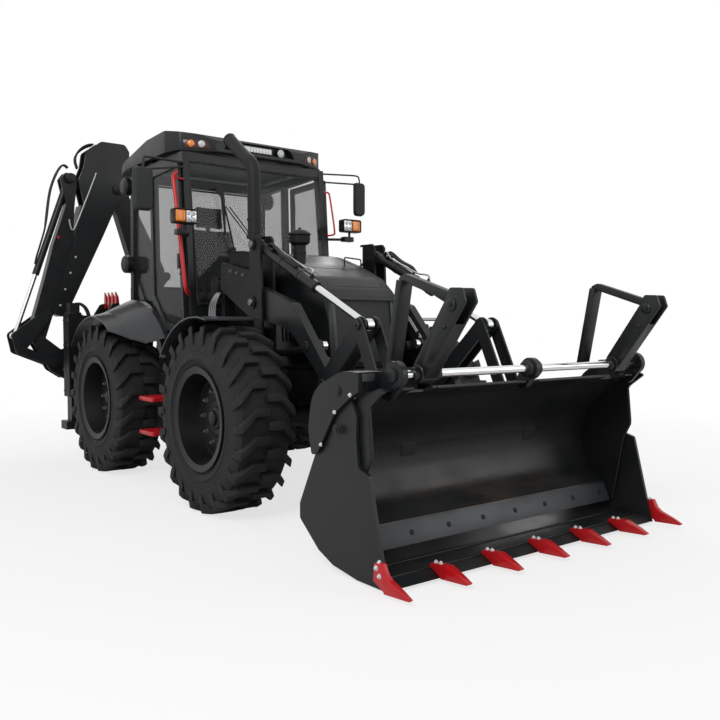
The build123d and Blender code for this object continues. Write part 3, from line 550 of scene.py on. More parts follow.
def cut_by(made, tool, operation):
    """Cuts a piece by a tool, or keeps what both hold, and removes the tool."""
    change = made.modifiers.new("cut", "BOOLEAN")
    change.operation = operation
    change.object = tool
    change.solver = "EXACT"
    take(made)
    bpy.ops.object.modifier_apply(modifier="cut")
    bpy.data.objects.remove(tool)
    return made


def softened(made, width, segments=3, angle=30):
    """Rolls the edges of a piece sharper than the angle."""
    change = made.modifiers.new("soft", "BEVEL")
    change.width = width
    change.segments = segments
    change.limit_method = "ANGLE"
    change.angle_limit = math.radians(angle)
    take(made)
    bpy.ops.object.modifier_apply(modifier="soft")
    return made


HOOD_SIDE = eased([(0.16, 1.07), (1.59, 1.07), (1.602, 1.18), (1.545, 1.612, 0.018), (1.492, 1.668, 0.07),
                   (1.365, 1.768, 0.26),
                   (1.084, 1.884, 0.5), (0.76, 1.984, 0.6), (0.16, 2.045)], 8)
HOOD_PLAN = [(0.15, -0.412), (1.70, -0.350), (1.70, 0.350), (0.15, 0.412)]


def hood_half(x):
    """Half width of the hood, which narrows ahead."""
    return 0.412 - 0.062 * (x - 0.15) / 1.55


hood = cut_by(traced(HOOD_SIDE, "y", -0.412, 0.412), traced(HOOD_PLAN, "z", 1.0, 2.1), "INTERSECT")
bpy.ops.object.mode_set(mode="EDIT")
bpy.ops.mesh.select_mode(type="EDGE")
bpy.ops.mesh.select_all(action="DESELECT")
bpy.ops.object.mode_set(mode="OBJECT")
for edge in hood.data.edges:
    a, b = (hood.data.vertices[n].co - ground_mid for n in edge.vertices)
    side_run = a.y * b.y > 0 and abs(a.y) > 0.34 and abs(b.y) > 0.34
    edge.select = side_run and min(a.z, b.z) > 1.60 and abs(a.x - b.x) > 1e-4
bpy.ops.object.mode_set(mode="EDIT")
bpy.ops.mesh.bevel(offset=0.045, segments=5, affect="EDGES")
bpy.ops.object.mode_set(mode="OBJECT")
pick_faces(hood, lambda f: f.normal.z < -0.9 or f.normal.x < -0.9)
bpy.ops.mesh.delete(type="FACE")
bpy.ops.object.mode_set(mode="OBJECT")
shell = hood.modifiers.new("wall", "SOLIDIFY")
shell.thickness = 0.012
shell.offset = -1
take(hood)
bpy.ops.object.modifier_apply(modifier="wall")
cut_by(hood, traced([(1.48, 1.11), (1.66, 1.11), (1.62, 1.585), (1.44, 1.585)], "y", -0.310, 0.310),
       "DIFFERENCE")
settle(hood, "hood_panel", "machine", satin_black, 25)
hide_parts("hood")


def top_of(made, x, y):
    """Height of a piece's upper face over a machine point."""
    return made.ray_cast(spot(x, y, 4.0), Vector((0, 0, -1)))[1].z


def crease(made, y_of, start, stop, count, radius):
    """A raised line that lies on the piece's upper face."""
    xs = [start + (stop - start) * i / (count - 1) for i in range(count)]
    return run_of([(x, y_of(x), top_of(made, x, y_of(x)) - radius * 0.45) for x in xs], radius, steps=3)


creases = [crease(hood, lambda x, s=s: s * (hood_half(x) - 0.095), 0.20, 1.44, 16, 0.006)
           for s in (1, -1)]
for x in (1.46, 1.17):
    y = hood_half(x) - 0.05
    creases.append(run_of([(x, -y, top_of(hood, x, -y) - 0.004), (x, 0, top_of(hood, x, 0) - 0.002),
                           (x, y, top_of(hood, x, y) - 0.004)], 0.005))
settle(joined_up(creases), "hood_creases", "machine", satin_black)
louvres = []
for side in (1, -1):
    for i in range(9):
        x = 0.98 + 0.05 * i
        y = side * (hood_half(x) + 0.001)
        louvres.append(run_of([(x, y, 1.26), (x - 0.03, y, 1.52)], 0.007, order=2, ring=1))
settle(joined_up(louvres), "hood_louvres", "machine", frame_black)
base = top_of(hood, 1.09, 0.24)
handle = run_of([(1.09, 0.155, base - 0.01), (1.09, 0.155, base + 0.062), (1.09, 0.160, base + 0.070),
                 (1.09, 0.32, base + 0.060),
                 (1.09, 0.325, base + 0.052), (1.09, 0.325, base - 0.03)], 0.006, order=2)
settle(handle, "hood_handle", "machine", hose_rubber)

# --- Mask -------------------------------------------------------------------------
# A perforated steel sheet set in the hood's front opening, with a grey strip down
# each side that is a painted highlight for the sheet's lit side edges.  Its holes are a
# pattern of near-black dots, painted shade seen through them, with sunk edges.
perforated, tree, shader = plain_shader("perforated sheet")
place = tree.nodes.new("ShaderNodeTexCoord").outputs["Object"]
cells = tree.nodes.new("ShaderNodeTexVoronoi")
cells.inputs["Scale"].default_value = 105.0
cells.inputs["Randomness"].default_value = 0.0
flat = tree.nodes.new("ShaderNodeVectorMath")
flat.operation = "MULTIPLY"
flat.inputs[1].default_value = (0.0, 1.0, 1.0)
tree.links.new(place, flat.inputs[0])
tree.links.new(flat.outputs[0], cells.inputs["Vector"])
# The hole dots are painted near black, as painted shade seen through the holes; the same mask sinks their
# edges.
hole_shade = node(tree, "ShaderNodeMapRange", cells.outputs["Distance"], i1=0.30, i2=0.36, i3=0.0, i4=1.0)
tree.links.new(blend_of(tree, hole_shade, (0.0015, 0.0015, 0.0016), (0.020, 0.022, 0.024)),
               shader.inputs["Base Color"])
relief_to(tree, shader, hole_shade, 0.002, 0.8)
shader.inputs["Roughness"].default_value = 0.45
shader.inputs["Specular IOR Level"].default_value = 0.3
mask = traced([(1.570, 1.10), (1.586, 1.10), (1.523, 1.598), (1.507, 1.598)], "y", -0.312, 0.312)
settle(mask, "mask_sheet", "machine", perforated)
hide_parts("grille")
# The grey strips down the mask's sides are a painted highlight for its lit side edges; the same grey is
# the blank plate's own colour.
highlight_and_plate_grey = sprayed("highlight and plate grey", (0.055, 0.060, 0.064), 0.42, dust=0.15, specular=0.3)
edge_highlight_strips = [traced([(1.589, 1.112), (1.596, 1.112), (1.536, 1.582), (1.529, 1.582)], "y",
                 *sorted((s * 0.272, s * 0.308)), 0.001) for s in (1, -1)]
settle(joined_up(edge_highlight_strips), "mask_edge_highlights", "machine", highlight_and_plate_grey)

# --- Air cleaner and exhaust ----------------------------------------------------
# A moulded pre-cleaner bowl with guide vanes under a rain cap, and a thick steel
# stack that leans back over the windscreen, both dull black.
dull_black = sprayed("dull black", (0.007, 0.0075, 0.008), 0.55, dust=0.15, specular=0.25)
CLEANER, STACK_Y, MOUTH_WAY = (1.029, -0.250), -0.572, (-0.803, 0, 0.596)
bowl = turned([(1.80, 0.05), (2.03, 0.05), (2.035, 0.062), (2.05, 0.078), (2.104, 0.080), (2.106, 0.070),
               (2.112, 0.092), (2.122, 0.092),
               (2.134, 0.080), (2.148, 0.058), (2.156, 0.030), (2.160, 0.012), (2.172, 0.012),
               (2.174, 0.008)],
              spot(*CLEANER, 0), (0, 0, 1), 40)
vanes = []
for i in range(18):
    a = math.tau * i / 18
    x, y = CLEANER[0] + 0.081 * math.cos(a), CLEANER[1] + 0.081 * math.sin(a)
    vanes.append(run_of([(x, y, 2.052), (x, y, 2.103)], 0.0035, order=2, ring=1))
band = turned([(1.965, 0.051), (1.966, 0.0545), (1.984, 0.0545), (1.985, 0.051)], spot(*CLEANER, 0),
              (0, 0, 1), 32)
stack_line = [(0.872, 2.09), (0.870, 2.25), (0.866, 2.45), (0.862, 2.57), (0.850, 2.64), (0.815, 2.69),
              (0.730, 2.74),
              (0.610, 2.825), (0.475, 2.925)]
stack = run_of([(x, STACK_Y, z) for x, z in stack_line], 0.054, ring=6)
foot_ring = turned([(2.088, 0.064), (2.102, 0.064), (2.106, 0.056), (2.128, 0.056), (2.130, 0.054)],
                   spot(0.870, STACK_Y, 0), (0, 0, 1), 32)
clamp = turned([(0, 0.0545), (0.001, 0.059), (0.016, 0.059), (0.017, 0.0545)],
               spot(0.8665, STACK_Y, 2.22), (-0.02, 0, 1), 32)
mouth = turned([(0.0, 0.0545), (0.002, 0.0560), (0.006, 0.0560), (0.008, 0.050), (0.0082, 0.047)],
               spot(0.477, STACK_Y, 2.9235), MOUTH_WAY, 32)
stacks = joined_up([bowl, *vanes, band, stack, foot_ring, clamp, mouth])
settle(stacks, "cleaner_and_exhaust", "machine", dull_black, 40)
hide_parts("stacks")
# The black disc over the stack's capped mouth is painted shade for the hollow bore, and it is soot as
# well.
bore_shade_and_soot = sprayed("bore_shade_and_soot", (0.002, 0.002, 0.002), 0.9, dust=0.0, specular=0.0)
bore = turned([(0.0, 0.046), (0.0012, 0.046)], spot(0.4705, STACK_Y, 2.9283), MOUTH_WAY, 28)
settle(bore, "exhaust_bore", "machine", bore_shade_and_soot)

# --- Cab glass ------------------------------------------------------------------
# Grey-tinted safety panes bonded into the cab and its doors with a black rubber
# bead.  A wiper with a long arm parks upright on the windscreen.


def pane_finish(name, colour, alpha):
    """Tinted glass with faint smears."""
    made, tree, shader = plain_shader(name)
    place = tree.nodes.new("ShaderNodeTexCoord").outputs["Object"]
    smear = node(tree, "ShaderNodeTexNoise", place, i2=1.3, i3=3.0)
    tree.links.new(node(tree, "ShaderNodeMapRange", smear, i1=0.3, i2=0.8, i3=0.01, i4=0.05),
                   shader.inputs["Roughness"])
    shader.inputs["Base Color"].default_value = (*colour, 1)
    shader.inputs["Alpha"].default_value = alpha
    shader.inputs["Specular IOR Level"].default_value = 0.5
    return made


tinted_pane = pane_finish("tinted pane", (0.020, 0.024, 0.025), 0.28)
finish_node(tinted_pane, "cab_glass", "door_glass_left", "door_glass_right")
bead = [(0.104, 0.683, 1.575), (0.104, -0.683, 1.575), (-0.068, -0.683, 2.815), (-0.068, 0.683, 2.815)]
beads = [run_of([a, b], 0.010, order=2, ring=1) for a, b in zip(bead, bead[1:] + bead[:1])]
rear = [(-1.240, 0.683, 1.768), (-1.240, -0.683, 1.768), (-1.240, -0.683, 2.783), (-1.240, 0.683, 2.783)]
beads += [run_of([a, b], 0.010, order=2, ring=1) for a, b in zip(rear, rear[1:] + rear[:1])]
settle(joined_up(beads), "window_beads", "machine", hose_rubber)
wiper = [turned([(0, 0.030), (0.03, 0.030), (0.036, 0.022)], spot(0.056, -0.330, 2.055), (0.99, 0, 0.14),
                20),
         run_of([(0.094, -0.330, 2.06), (0.094, -0.345, 2.14), (0.074, -0.372, 2.30),
                 (0.042, -0.402, 2.47)], 0.008, order=3),
         traced([(-0.415, 2.18), (-0.399, 2.18), (-0.385, 2.50), (-0.400, 2.63), (-0.470, 2.62),
                 (-0.462, 2.56), (-0.425, 2.52)],
                "x", 0.012, 0.022, 0.003)]
blade = wiper[-1]
blade.data.transform(Matrix.Translation(spot(0.017, 0, 2.40))
                     @ Matrix.Rotation(math.radians(-7.8), 4, "Y")
                     @ Matrix.Translation(-spot(0.017, 0, 2.40)) @ Matrix.Translation((0.032, 0, 0)))
wiper += [run_of([(0.064, -0.395, 2.44), (0.094, -0.25, 2.26), (0.108, -0.150, 2.13)], 0.005, order=2),
          run_of([(0.070, -0.360, 2.44), (0.100, -0.215, 2.26), (0.113, -0.120, 2.13)], 0.005, order=2)]
settle(joined_up(wiper), "wiper", "machine", dull_black)

# --- Roof -----------------------------------------------------------------------
# A moulded shell with cut front corners, a recess for the work lamps over the
# windscreen, and a drip edge along the front and its cut corners, in the cab's satin black.
ROOF_SIDE = eased([(0.0, 2.925), (0.0, 3.020, 0.02), (-0.060, 3.070, 0.04), (-0.30, 3.112, 0.25),
                   (-0.70, 3.095), (-1.24, 2.985, 0.12),
                   (-1.385, 2.885, 0.03), (-1.345, 2.850), (-1.20, 2.905)])
ROOF_PLAN = eased([(0.0, -0.45, 0.04), (-0.125, -0.745, 0.05), (-0.30, -0.80, 0.08), (-1.40, -0.80, 0.12),
                   (-1.40, 0.80, 0.12),
                   (-0.30, 0.80, 0.08), (-0.125, 0.745, 0.05), (0.0, 0.45, 0.04)])
roof = cut_by(traced(ROOF_SIDE, "y", -0.80, 0.80), traced(ROOF_PLAN, "z", 2.80, 3.20), "INTERSECT")
recess = traced([(-0.375, 2.955), (0.375, 2.955), (0.320, 3.045), (-0.320, 3.045)], "x", -0.080, 0.02)
cut_by(roof, recess, "DIFFERENCE")
softened(roof, 0.012, 3, 35)
settle(roof, "roof_shell", "machine", satin_black, 40)
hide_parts("cab_roof")
trim = [run_of([(0.003, -0.44, 2.925), (-0.062, -0.60, 2.922), (-0.125, -0.748, 2.920)], 0.008, order=2),
        run_of([(0.003, 0.44, 2.925), (-0.062, 0.60, 2.922), (-0.125, 0.748, 2.920)], 0.008, order=2),
        run_of([(0.003, -0.44, 2.925), (0.003, 0.44, 2.925)], 0.008, order=2)]
settle(joined_up(trim), "roof_drip_edge", "machine", dull_black)
hatch = traced(eased([(-1.05, -0.36, 0.06), (-0.42, -0.36, 0.06), (-0.42, 0.36, 0.06),
                      (-1.05, 0.36, 0.06)]), "z", 3.060, 3.110, 0.006)
hatch.data.transform(Matrix.Translation(spot(-0.735, 0, 3.09))
                     @ Matrix.Rotation(math.radians(-3.0), 4, "Y")
                     @ Matrix.Translation(-spot(-0.735, 0, 3.09)))
settle(hatch, "roof_hatch", "machine", dull_black)

# --- Lamps ----------------------------------------------------------------------
# Moulded lamp units with clear and amber lenses: a pair on each roof corner in a
# dark red plate, work lamps and a light bar in the recess, and a head lamp each side.


def lens_finish(name, colour, ribs, rough=0.12):
    """A lens over a bright reflector, with fine moulded ribs."""
    made, tree, shader = plain_shader(name)
    place = tree.nodes.new("ShaderNodeTexCoord").outputs["Object"]
    grid = tree.nodes.new("ShaderNodeTexVoronoi")
    grid.inputs["Scale"].default_value = ribs
    grid.inputs["Randomness"].default_value = 0.15
    tree.links.new(place, grid.inputs["Vector"])
    shade = node(tree, "ShaderNodeMapRange", grid.outputs["Distance"], i1=0.1, i2=0.6, i3=0.0, i4=0.35)
    dark = tuple(c * 0.35 for c in colour)
    tree.links.new(blend_of(tree, shade, colour, dark), shader.inputs["Base Color"])
    relief_to(tree, shader, grid.outputs["Distance"], 0.0015, 0.5)
    shader.inputs["Roughness"].default_value = rough
    shader.inputs["Coat Weight"].default_value = 0.8
    shader.inputs["Coat Roughness"].default_value = 0.03
    return made


amber_lens = lens_finish("amber lens", (1.0, 0.27, 0.008), 90.0)
clear_lens = lens_finish("clear lens", (0.62, 0.64, 0.66), 70.0)
bar_lens = lens_finish("bar lens", (0.80, 0.82, 0.84), 45.0)
reflector = sprayed("reflector", (0.75, 0.76, 0.78), 0.16, dust=0.0, metallic=1.0, peel=0.02)
maroon = sprayed("maroon plate", (0.050, 0.006, 0.009), 0.20, dust=0.05, coat=0.5)
housing = sprayed("lamp housing", (0.006, 0.006, 0.0065), 0.40, dust=0.1, specular=0.35)
plates, ambers, clears = [], [], []
for s in (1, -1):
    out = Vector((0.9206, s * 0.3905, 0))
    plate = traced([(0.492, 2.945), (0.700, 2.940), (0.712, 3.012), (0.530, 3.020)], "x", 0.0, 0.006,
                   0.002)
    pane = [(v.co - ground_mid) for v in plate.data.vertices]
    for v, p in zip(plate.data.vertices, pane):
        v.co = spot(-0.125 * (p.y - 0.45) / 0.295 + (p.x - 0.001) * out.x,
                    s * p.y + (p.x - 0.001) * out.y, p.z)
    if s < 0:
        plate.data.flip_normals()
    plates.append(plate)
    for y, group in ((0.650, ambers), (0.565, clears)):
        x = -0.125 * (y - 0.45) / 0.295
        place = spot(x, s * y, 2.982)
        ring = turned([(0.002, 0.034), (0.010, 0.034), (0.012, 0.031)], place, out, 28)
        plates.append(ring)
        group.append(turned([(0.006, 0.030), (0.012, 0.030), (0.018, 0.022), (0.020, 0.010)], place, out,
                            28))
plates = settle(joined_up(plates), "corner_lamp_plates", "machine", maroon)
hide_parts("lamps")
bezels = []
for s in (1, -1):
    place = spot(-0.070, s * 0.245, 3.000)
    bezels.append(turned([(0, 0.030), (0.028, 0.040), (0.036, 0.041), (0.038, 0.036)], place,
                         (1, 0, -0.05), 28))
    clears.append(turned([(0.030, 0.036), (0.040, 0.036), (0.046, 0.026), (0.048, 0.010)], place,
                         (1, 0, -0.05), 28))
bezels.append(rounded((-0.080, -0.190, 2.966), (-0.040, 0.150, 3.030), 0.006))
light_bar = joined_up([rounded((-0.046, -0.180 + 0.0325 * i, 2.974),
                               (-0.030, -0.1495 + 0.0325 * i, 3.022), 0.004) for i in range(10)])
settle(light_bar, "roof_light_bar", "machine", bar_lens)
HEAD_LAMPS = {-1: (0.300, -0.900, 2.287), 1: (0.187, 0.900, 2.350)}
for s, (x, y, z) in HEAD_LAMPS.items():
    outline = eased([(y - 0.108, z - 0.062, 0.022), (y + 0.108, z - 0.062, 0.022),
                     (y + 0.108, z + 0.062, 0.022), (y - 0.108, z + 0.062, 0.022)])
    shell = traced(outline, "x", x - 0.050, x + 0.038, 0.006)
    pick_faces(shell, lambda f: f.normal.x > 0.95)
    bpy.ops.mesh.inset(thickness=0.012, depth=-0.012)
    bpy.ops.object.mode_set(mode="OBJECT")
    bezels.append(shell)
    bezels.append(rounded((x - 0.090, y - 0.055, z - 0.148), (x - 0.015, y + 0.055, z - 0.100), 0.006))
    bezels.append(run_of([(x - 0.02, y, z - 0.12), (x - 0.02, y, z - 0.05)], 0.012, order=2))
    bezels.append(run_of([(0.030, s * 0.745, z - 0.125), (x - 0.060, y, z - 0.125)], 0.013, order=2))
    a, b = sorted((y + s * 0.004, y + s * 0.094))
    ambers.append(rounded((x + 0.020, a, z - 0.048), (x + 0.037, b, z + 0.048), 0.010, 3))
    for dz in (0.024, -0.024):
        clears.append(turned([(0.018, 0.021), (0.032, 0.021), (0.038, 0.014), (0.039, 0.006)],
                             spot(x, y - s * 0.066, z + dz), (1, 0, 0), 24))
        clears.append(turned([(0.018, 0.016), (0.032, 0.016), (0.036, 0.010)],
                             spot(x, y - s * 0.024, z + dz), (1, 0, 0), 20))
    a, b = sorted((y - s * 0.094, y - s * 0.004))
    settle(rounded((x + 0.016, a, z - 0.048), (x + 0.029, b, z + 0.048), 0.004),
           f"head_lamp_bowl_{'left' if s > 0 else 'right'}",
           "machine", reflector)
for s in (1, -1):
    for z in (1.985, 2.735):
        bezels.append(turned([(0.748, 0.030), (0.752, 0.055), (0.772, 0.086), (0.822, 0.086),
                              (0.836, 0.074), (0.840, 0.062), (0.846, 0.040)],
                             spot(-1.195, 0, z), (0, s, 0), 32))
for y in (0.62, -0.62):
    place = spot(-1.342, y, 2.895)
    bezels.append(turned([(0, 0.03), (0.03, 0.042), (0.05, 0.044), (0.052, 0.039)], place, (-1, 0, -0.25),
                         24))
    clears.append(turned([(0.048, 0.038), (0.056, 0.036), (0.060, 0.024)], place, (-1, 0, -0.25), 24))
settle(joined_up(bezels), "lamp_housings", "machine", housing)
settle(joined_up(ambers), "amber_lenses", "machine", amber_lens)
settle(joined_up(clears), "clear_lenses", "machine", clear_lens)

# --- Mirrors --------------------------------------------------------------------
# Moulded plastic shells on bent wire brackets fixed to the cab's pillars, with
# silvered glass sunk in the side that faces the driver.
moulding = sprayed("mirror moulding", (0.020, 0.0215, 0.023), 0.62, dust=0.1, specular=0.3)
silvered = sprayed("silvered glass", (0.80, 0.82, 0.83), 0.03, dust=0.0, metallic=1.0, peel=0.0)
shells, silver = [], []
for y0, y1, z0, z1, x0, x1 in ((-1.240, -1.065, 2.340, 2.705, 0.025, 0.085),
                               (1.085, 1.215, 2.484, 2.824, -0.020, 0.030)):
    shell = traced(eased([(y0, z0, 0.045), (y1, z0, 0.045), (y1, z1, 0.045), (y0, z1, 0.045)], 6), "x",
                   x0, x1)
    pick_faces(shell, lambda f: f.normal.x > 0.9)
    bpy.ops.transform.resize(value=(1, 0.86, 0.93))
    bpy.ops.object.mode_set(mode="OBJECT")
    softened(shell, 0.010, 3, 25)
    pick_faces(shell, lambda f: f.normal.x < -0.95 and f.area > 0.01)
    bpy.ops.mesh.inset(thickness=0.010, depth=-0.004)
    bpy.ops.object.mode_set(mode="OBJECT")
    shells.append(shell)
    silver.append(traced(eased([(y0 + 0.014, z0 + 0.014, 0.035), (y1 - 0.014, z0 + 0.014, 0.035),
                                (y1 - 0.014, z1 - 0.014, 0.035),
                                (y0 + 0.014, z1 - 0.014, 0.035)], 6), "x", x0 + 0.0010, x0 + 0.0045))
shells += [run_of([(0.055, -1.150, 2.69), (0.055, -1.150, 2.765), (0.050, -1.135, 2.79),
                   (0.030, -1.05, 2.792), (-0.050, -0.740, 2.80)], 0.011),
           run_of([(0.050, -1.100, 2.69), (-0.045, -0.740, 2.762)], 0.009, order=2),
           run_of([(0.005, 1.150, 2.80), (0.005, 1.150, 2.862), (0.0, 1.130, 2.886), (-0.02, 1.06, 2.888),
                   (-0.055, 0.740, 2.870)], 0.008),
           run_of([(0.005, 1.120, 2.80), (-0.050, 0.740, 2.79)], 0.008, order=2)]
shells = settle(joined_up(shells), "mirror_shells", "machine", moulding, 45)
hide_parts("mirrors")
settle(joined_up(silver), "mirror_glass", "machine", silvered)

# --- Steps and grab rails -------------------------------------------------------
# Folded tread plates with raised grip studs, and bent tube rails beside the doors,
# all in red enamel.
red_enamel = sprayed("red enamel", (0.50, 0.006, 0.010), 0.30, dust=0.12, coat=0.3)
treads = []
for s in (1, -1):
    for z in (0.455, 0.745):
        tread = traced([(-0.190, s * 0.900), (0.060, s * 0.900), (0.088, s * 1.090), (0.080, s * 1.110),
                        (-0.192, s * 1.110), (-0.200, s * 1.090)],
                       "z", z, z + 0.035, 0.003)
        treads.append(tread)
        for i in range(6):
            for k in range(4):
                treads.append(turned([(0, 0.008), (0.003, 0.008), (0.005, 0.005)],
                                     spot(-0.160 + 0.042 * i, s * (0.93 + 0.045 * k), z + 0.034),
                                     (0, 0, 1), 8))
rails = [run_of([(-0.028, -0.815, 2.705), (0.000, -0.860, 2.672), (0.028, -0.868, 2.62),
                 (0.228, -0.868, 1.75), (0.222, -0.855, 1.68),
                 (0.185, -0.815, 1.655)], 0.017, ring=5),
         run_of([(-0.040, -0.746, 2.655), (0.008, -0.866, 2.655)], 0.009, order=2),
         run_of([(0.052, -0.746, 1.715), (0.226, -0.866, 1.725)], 0.009, order=2),
         run_of([(-0.040, 0.746, 2.692), (-0.01, 0.776, 2.690), (0.010, 0.778, 2.66),
                 (0.100, 0.778, 2.29), (0.090, 0.772, 2.262), (-0.006, 0.744, 2.264)],
                0.009, ring=5)]
rails = joined_up(treads + rails)
settle(rails, "steps_and_rails", "machine", red_enamel, 45)
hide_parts("steps_rails")

# --- Seat and controls ----------------------------------------------------------
# A sprung seat with foam cushions in dark woven cloth, moulded armrests, a steering
# column with its wheel, and two lever boxes on a rubber-covered floor.
cloth, tree, shader = plain_shader("seat cloth")
place = tree.nodes.new("ShaderNodeTexCoord").outputs["Object"]
warp = tree.nodes.new("ShaderNodeTexWave")
warp.bands_direction = "Y"
warp.inputs["Scale"].default_value = 130.0
weft = tree.nodes.new("ShaderNodeTexWave")
weft.bands_direction = "Z"
weft.inputs["Scale"].default_value = 130.0
for band in (warp, weft):
    tree.links.new(place, band.inputs["Vector"])
weave = math_of(tree, "MULTIPLY", warp.outputs["Fac"], weft.outputs["Fac"])
tree.links.new(blend_of(tree, weave, (0.030, 0.032, 0.034), (0.085, 0.088, 0.092)),
               shader.inputs["Base Color"])
relief_to(tree, shader, weave, 0.0008, 0.6)
shader.inputs["Roughness"].default_value = 0.9
shader.inputs["Sheen Weight"].default_value = 0.3


def cushion(name, low, high, crown, channels, lean=0.0):
    """A foam pad whose faces crown and whose sides pull in, with sewn channels at parts of its width."""
    made = rounded(low, high, 0.022, 3)
    bpy.ops.object.mode_set(mode="EDIT")
    bpy.ops.mesh.select_all(action="SELECT")
    bpy.ops.mesh.subdivide(number_cuts=7)
    bpy.ops.object.mode_set(mode="OBJECT")
    a, b = spot(*low), spot(*high)
    mid, half = (a + b) / 2, (b - a) / 2
    thin = min(range(3), key=lambda n: half[n])
    wide = [n for n in range(3) if n != thin]
    across = wide[0] if wide[0] == 1 else wide[1]
    for v in made.data.vertices:
        u = [(v.co[n] - mid[n]) / half[n] for n in range(3)]
        bulge = max(0.0, (1 - u[wide[0]] ** 4) * (1 - u[wide[1]] ** 4))
        v.co[thin] += math.copysign(crown * bulge * abs(u[thin]), u[thin])
        for seam in channels:
            for line in (seam, -seam):
                groove = 0.010 * math.exp(-((u[across] - line) / 0.05) ** 2)
                v.co[thin] -= math.copysign(groove, u[thin]) * bulge
        for n in wide:
            v.co[n] -= math.copysign(0.010 * (1 - u[wide[0] + wide[1] - n] ** 2) * abs(u[n]) ** 6, u[n])
    if lean:
        turn = Matrix.Rotation(math.radians(lean), 4, "Y")
        foot = Vector((a.x, 0, a.z))
        made.data.transform(Matrix.Translation(foot) @ turn @ Matrix.Translation(-foot))
    smooth = made.modifiers.new("soft", "SUBSURF")
    smooth.levels = smooth.render_levels = 1
    take(made)
    bpy.ops.object.modifier_apply(modifier="soft")
    settle(made, name, "machine", cloth, 60)
    return made


seat_pad = cushion("seat_pad", (-0.975, -0.245, 1.605), (-0.465, 0.245, 1.710), 0.012, (0.55,))
cushion("seat_back_pad", (-0.990, -0.235, 1.720), (-0.895, 0.235, 2.350), 0.012, (0.55,), -6.0)
cushion("seat_headrest", (-1.052, -0.145, 2.372), (-0.982, 0.145, 2.585), 0.010, (), -4.0)
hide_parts("cab_interior")
moulded_black = sprayed("moulded black", (0.010, 0.0105, 0.011), 0.60, dust=0.1, specular=0.3)
seat_parts = [rounded((-0.90, -0.15, 1.442), (-0.56, 0.15, 1.600), 0.02),
              rounded((-1.06, -0.020, 2.30), (-1.03, 0.020, 2.45), 0.006)]
for s in (1, -1):
    seat_parts.append(beside(s, 0.262, 0.330, (-0.90, 1.900), (-0.52, 1.945), 0.016, 3))
    seat_parts.append(beside(s, 0.240, 0.300, (-0.925, 1.690), (-0.885, 1.905), 0.008))
    seat_parts.append(beside(s, 0.265, 0.420, (-0.560, 1.120), (-0.380, 1.640), 0.02))
    for k in (0, 1):
        seat_parts.append(run_of([(-0.43 - 0.06 * k, s * 0.34, 1.63), (-0.42 - 0.06 * k, s * 0.335, 1.78),
                                  (-0.44 - 0.06 * k, s * 0.325, 1.86)], 0.007))
        seat_parts.append(turned([(0, 0.010), (0.004, 0.018), (0.030, 0.022), (0.042, 0.014)],
                                 spot(-0.44 - 0.06 * k, s * 0.325, 1.855), (0, 0, 1), 16))
seat_parts.append(run_of([(0.030, 0, 1.104), (-0.05, 0, 1.40), (-0.180, 0, 1.90)], 0.052, ring=5))
seat_parts.append(rounded((-0.055, -0.26, 1.104), (0.055, 0.26, 1.50), 0.03, 3))
seat_parts.append(rounded((-0.040, -0.22, 1.50), (0.050, 0.22, 1.60), 0.02, 3))
wheel = pressed_on([(0.013 * math.sin(a), 0.178 + 0.013 * math.cos(a))
                    for a in (math.tau * i / 10 for i in range(10))], 40)
spokes = joined_up([run_of([(0, 0, 0), (0.18 * math.cos(a), 0.18 * math.sin(a), 0)], 0.008, order=2)
                    for a in (0.5, 2.64, 4.71)])
spokes.data.transform(Matrix.Translation(-spot(0, 0, 0)))
boss = turned([(-0.02, 0.03), (0.0, 0.045), (0.014, 0.040), (0.018, 0.02)], (0, 0, 0), (0, 0, 1), 24)
wheel = joined_up([wheel, spokes, boss])
wheel.data.transform(Matrix.Translation(spot(-0.190, 0, 1.935))
                     @ Matrix.Rotation(math.radians(-20), 4, "Y"))
seat_parts.append(wheel)
settle(joined_up(seat_parts), "seat_frame_and_controls", "machine", moulded_black, 45)
mat = traced(eased([(-0.40, -0.66, 0.05), (-0.07, -0.66, 0.05), (-0.07, 0.66, 0.05),
                    (-0.40, 0.66, 0.05)]), "z", 1.101, 1.109, 0.002)
settle(mat, "floor_mat", "machine", hose_rubber)

# --- Doors ----------------------------------------------------------------------
# Steel door frames with bonded glass that close on a run of rubber seal, held by
# screwed hinges, with the round base of a pull handle.
for s, side in ((1, "left"), (-1, "right")):
    fittings = []
    for z in (1.85, 2.55):
        for i in (0, 1):
            fittings.append(turned([(0, 0.008), (0.005, 0.008), (0.008, 0.005)],
                                   spot(-0.632, s * 0.786, z + 0.022 + 0.046 * i), (0, s, 0), 10))
    fittings.append(turned([(0, 0.016), (0.008, 0.016), (0.012, 0.012)], spot(-0.030, s * 0.786, 1.840),
                           (0, s, 0), 16))
    settle(joined_up(fittings), f"door_fittings_{side}", f"door_{side}", dull_zinc)
    line = [(-0.588, 1.667), (-0.334, 1.402), (-0.007, 1.364), (-0.117, 2.768), (-0.623, 2.748)]
    seal = [run_of([(a[0], s * 0.779, a[1]), (b[0], s * 0.779, b[1])], 0.006, order=2, ring=1)
            for a, b in zip(line, line[1:] + line[:1])]
    settle(joined_up(seal), f"door_seal_{side}", f"door_{side}", hose_rubber)

